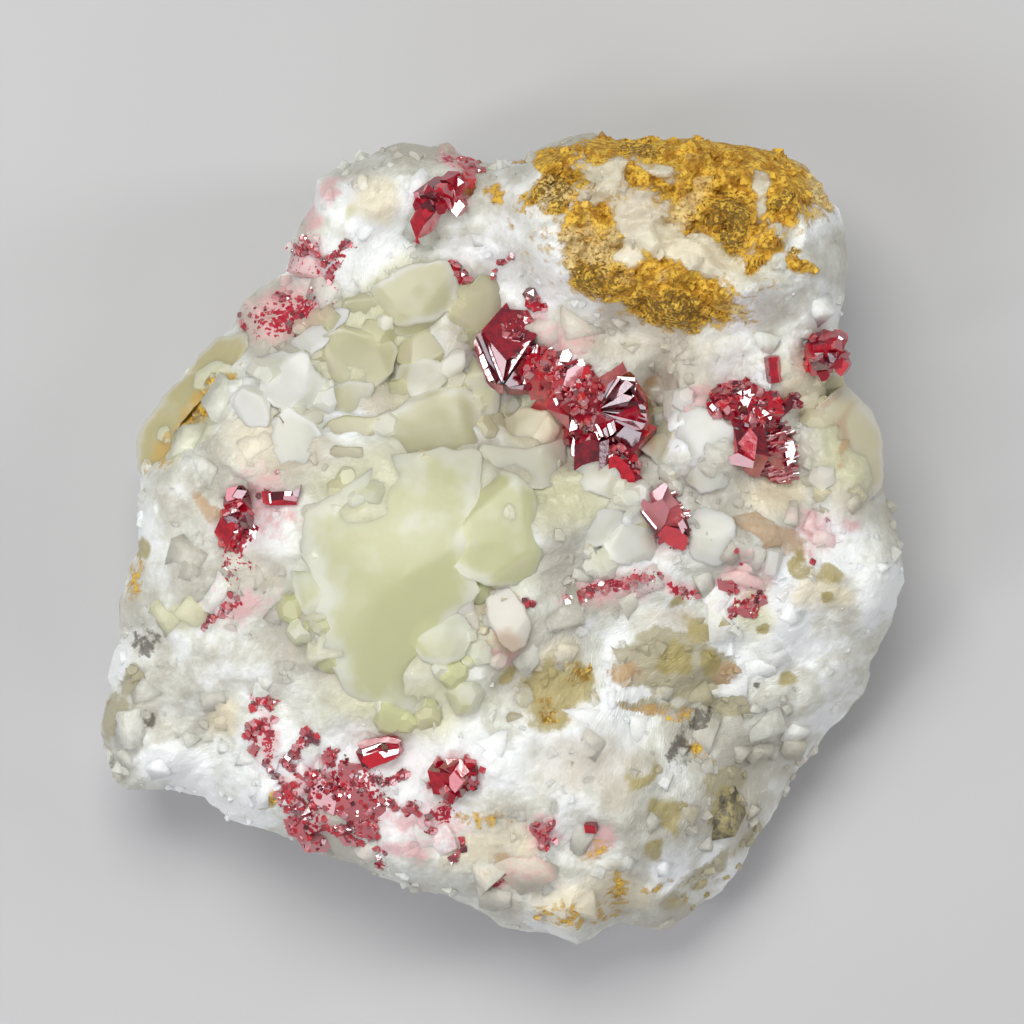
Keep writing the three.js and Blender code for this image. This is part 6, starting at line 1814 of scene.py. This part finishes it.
# %% Scattering small crystals
BLOCK_OUTLINES = [row[4] for rows in BLOCKS.values() for row in rows] + [YELLOW_MASS[0]]
GRID_EDGE = 37  # mm from the middle to the edge of the loose grid
LOOSENESS = 0.95  # how far a place is pushed about, as a share of the spacing


def scatter(spacing, seed, keep):
    """Places on a loose grid of that spacing, each kept if its own number is under keep(x, y)."""
    line = np.arange(-GRID_EDGE, GRID_EDGE + 1, spacing)
    gx, gy = np.meshgrid(line, line)
    ix, iy = np.round(gx / spacing), np.round(gy / spacing)
    x = gx + spacing * LOOSENESS * (cell_number(ix, iy, seed) - 0.5)
    y = gy + spacing * LOOSENESS * (cell_number(ix, iy, seed + 1) - 0.5)
    kept = (cell_number(ix, iy, seed + 2) < keep(x, y)) & (inside_rim(x, y) > 0.1)
    return x[kept], y[kept]


def scattered(name, spacing, seed, keep, sizes, sunk):
    """A mesh of small cut crystals on the face, sunk in it by a share of their half size."""
    x, y = scatter(spacing, seed, keep)
    free = beside_blocks(x, y, BLOCK_OUTLINES)
    x, y = x[free], y[free]
    places = np.column_stack([x, y, face_height(x, y)])
    points, faces = small_cuts(places, sizes, seed + 5, stretch=(1, 0.85, 0.9), sunk=sunk)[:2]
    return put_mesh(name, points, faces), x, y


print("outlines kept free:", len(BLOCK_OUTLINES))

# %% [markdown]
# ## Where small crystals grow
# Cleavage blocks break out of the rock everywhere but in the smooth middle, sugary dolomite sits along the
# rim and in drifts, rusty crumbs lie on the hump and red grains near the cinnabar. Each kind has a share
# from 0 to 1 of the places that it takes, worked out from the stains and the distance to the rim.

# %% Shares of the zones
def coarse_share(x, y):
    """Blocks of a few mm that the rock is made of: everywhere but on the smooth middle and in the vug."""
    smooth = lump_share(x, y, -7, -1.5, 11, 12, 0, 0.3)
    smooth = np.maximum(smooth, lump_share(x, y, -9, 15.5, 12, 8.5, 18, 0.3))
    calm = (1 - smooth) * (1 - 0.55 * stain("snow_and_painted_light", x, y))
    hump = lump_share(x, y, *CRUST_HUMP)
    return 0.16 * calm * (1 - 0.9 * hump) * fade(inside_rim(x, y), 1.8, 3.4)


def fine_share(x, y):
    """Sugary small crystals between the blocks, in drifts, in the host rock and along the rim."""
    smooth = lump_share(x, y, -7, -1.5, 12, 13, 0, 0.3)
    drifts = fade(rough_drift(x, y, 3.0, 301), -0.4, 0.6)
    rim = np.exp(-inside_rim(x, y) / 1.2)
    calm = (1 - smooth) * (1 - 0.4 * stain("snow_and_painted_light", x, y))
    share = np.maximum(0.02 + 0.14 * drifts + 0.2 * stain("host", x, y), 0.5 * rim)
    return share * calm * (1 - 0.6 * crust_share(x, y))


def crumb_share(x, y):
    """Rusty crumbs where the crust is."""
    return 0.22 * fade(crust_share(x, y), 0.35, 0.8)


def red_share(x, y):
    """Red grains where the dust is, and a few in the pink round it."""
    return 0.46 * stain("dust", x, y) * fade(drift(x, y, 1.3, 311), -0.5, 0.4) + 0.015 * stain("pink", x, y)


print("sugar keeps in the middle:", round(float(fine_share(np.zeros(1), np.zeros(1))[0]), 3))

# %% [markdown]
# ## Grains of the rock
# Thousands of grains would be too many pieces, and each alone is nothing that could be picked off. So all
# grains of a kind are placed, turned and sized as arrays and make one mesh. They carry the rock's stains
# and its finish.

# %% Blocks, sugar and crumbs
GRAINS = [
    # piece, spacing in mm, seed, share of the places, least and most half size, how far sunk
    ("rock_blocks", 1.4, 401, coarse_share, (0.7, 2.0), 0.88),
    ("rock_sugar", 0.75, 411, fine_share, (0.2, 0.6), 0.72),
    ("crust_crumbs", 0.42, 421, crumb_share, (0.12, 0.4), 0.1),
]
for name, spacing, seed, keep, sizes, sunk in GRAINS:
    piece, x, y = scattered(name, spacing, seed, keep, sizes, sunk)
    corners = len(piece.data.vertices) // len(x)
    note_stains(piece, np.repeat(x, corners), np.repeat(y, corners))
    own = 0.12 * number_rows(len(x), seed, 1)[0] + 0.88 * fine_relief(x, y)[1]
    note(piece, tone=np.repeat(own, corners), border=np.zeros(len(own) * corners))
    if name == "rock_blocks":
        piece.data.shade_smooth()
    seat(piece, "carbonate_rock", rock_look)
    print(name, len(x), triangles(piece))

# %% [markdown]
# ## Red dust and veins
# Where the solution crept along cracks, the cinnabar lies in thin trails of grains, and round the larger
# crystals as a sprinkle. A painted line would look flat, so the trails are real grains, strewn along short
# listed paths.

# %% Red grains
VEINS = [
    # thin trails of red grains: places in mm, half width, how many
    ([(-20.7, -19.4), (-20.2, -20.3), (-19.4, -21.3), (-18.7, -22), (-18, -23.4), (-17.5, -24.1)], 0.18, 60),
    ([(-19.5, -22.4), (-18.5, -23), (-17.6, -23.6), (-17.3, -24.3)], 0.45, 110),
    ([(-16.9, -23.4), (-15.7, -23.4), (-15.2, -22.7), (-14.2, -22), (-13.1, -21.7)], 0.25, 60),
    ([(-13.5, -20.6), (-11.7, -20.8), (-11.1, -21.1), (-10, -21.3), (-9, -20.8), (-8.3, -20.6)], 0.25, 70),
    ([(-11.7, -23.4), (-10.7, -23), (-9.7, -23.2), (-9.2, -23.4)], 0.22, 40),
    ([(-14.5, -25.5), (-13.5, -25.3), (-12.8, -24.8), (-11.7, -25.3)], 0.25, 45),
    ([(-21.8, -13.7), (-20.7, -14), (-22.1, -14.6), (-21.6, -14.9)], 0.2, 24),
    ([(-22.5, -17.3), (-21.9, -16.5), (-21.4, -16)], 0.3, 36),
    ([(-17.3, -16.8), (-16.2, -17.3), (-17.8, -17.9), (-18.1, -18.7), (-19.2, -19.4), (-18.3, -20.1)],
        0.28, 90),
    ([(-4.5, -28.4), (-3.4, -27.2), (-3.3, -26.1)], 0.15, 22),
    ([(-15.5, -25.1), (-13.7, -26.2), (-11.7, -27), (-10, -27.5)], 0.2, 50),
    ([(-23.7, -5.6), (-24.6, -6.3), (-25.4, -7), (-26, -7.6)], 0.25, 30),
    ([(-24, -1.8), (-23.7, -3.1), (-24.2, -4.4), (-23, -5.1)], 0.2, 24),
    ([(5.2, -5.3), (7.8, -4.6), (10.5, -3.9), (13.1, -3.3), (14.2, -3.2)], 0.3, 60),
    ([(2, -5.3), (2.7, -5.6)], 0.2, 10),
    ([(-17.7, 26.8), (-16.3, 25.5), (-15.4, 24.5), (-14.2, 25.5), (-13.3, 26)], 0.25, 40),
    ([(-0.4, 24.5), (0.3, 24.6)], 0.15, 8),
    ([(-0.8, 23.2), (-0.4, 23.8)], 0.12, 6),
    ([(0.8, 24.8), (1.1, 25)], 0.1, 5),
    ([(-3.6, 33.7), (-2.6, 33.4), (-1.8, 33.1)], 0.3, 30),
]


def trail(path, width, count, seed):
    """Places along a path: t of its length on, and up to the half width aside."""
    path = np.array(path, float)
    long = np.append(0, np.cumsum(np.hypot(*np.diff(path, axis=0).T)))
    t, a, b = number_rows(count, seed, 3)
    x, y = (np.interp(t * long[-1], long, path[:, k]) for k in (0, 1))
    return x + 2 * width * (a - 0.5), y + 2 * width * (b - 0.5)


x, y = scatter(0.36, 431, red_share)
trails = [trail(*row, 1300 + k) for k, row in enumerate(VEINS)]
x = np.concatenate([x] + [t[0] for t in trails])
y = np.concatenate([y] + [t[1] for t in trails])
points, faces, tone, haze = small_cuts(np.column_stack([x, y, face_height(x, y)]), (0.1, 0.3), 436)
red_grains = put_mesh("cinnabar_grains", points, faces)
note(red_grains, "FACE", tone=tone, haze=np.clip(haze + 0.1, 0, MOST_PALE))
seat(red_grains, "cinnabar", red_look)
print("red grains:", len(x))

# %% [markdown]
# ## Table
# The specimen lies on a plain pale board. It is larger than any view, so its edge never shows, and a faint
# cloud in its colour keeps it from looking like a flat backdrop.

# %% Table
BOARD_EDGE = 3000.0
BOARD_COLOURS = ((0.56, 0.56, 0.57), (0.6, 0.6, 0.6))
board_points = np.array([[-1, -1, 0], [1, -1, 0], [1, 1, 0], [-1, 1, 0]]) * BOARD_EDGE
board = put_mesh("table", board_points, [np.array([[0, 1, 2, 3]])])
board_finish, board_tree, board_shader, board_place = new_finish("table_finish")
board_colour = tint(board_tree, speckle(board_tree, board_place, 0.02, 3), *BOARD_COLOURS)
feed(board_tree, board_shader, {"Base Color": board_colour, "Roughness": 0.8})
board.data.materials.append(board_finish)
board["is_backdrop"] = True
print("board edge in mm:", 2 * BOARD_EDGE)

# %% [markdown]
# ## Measure
# A look at the picture wouldn't show how far the grown model reaches beyond the solids' box, so both boxes
# are measured, and the size of the looks' box is printed.

# %% Boxes and finish
look_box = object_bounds()
sizes = {"cad": [list(c) for c in cad_box], "look": [list(c) for c in look_box]}
print("box of the looks in mm:", [round(v / MM, 1) for v in look_box[1] - look_box[0]])
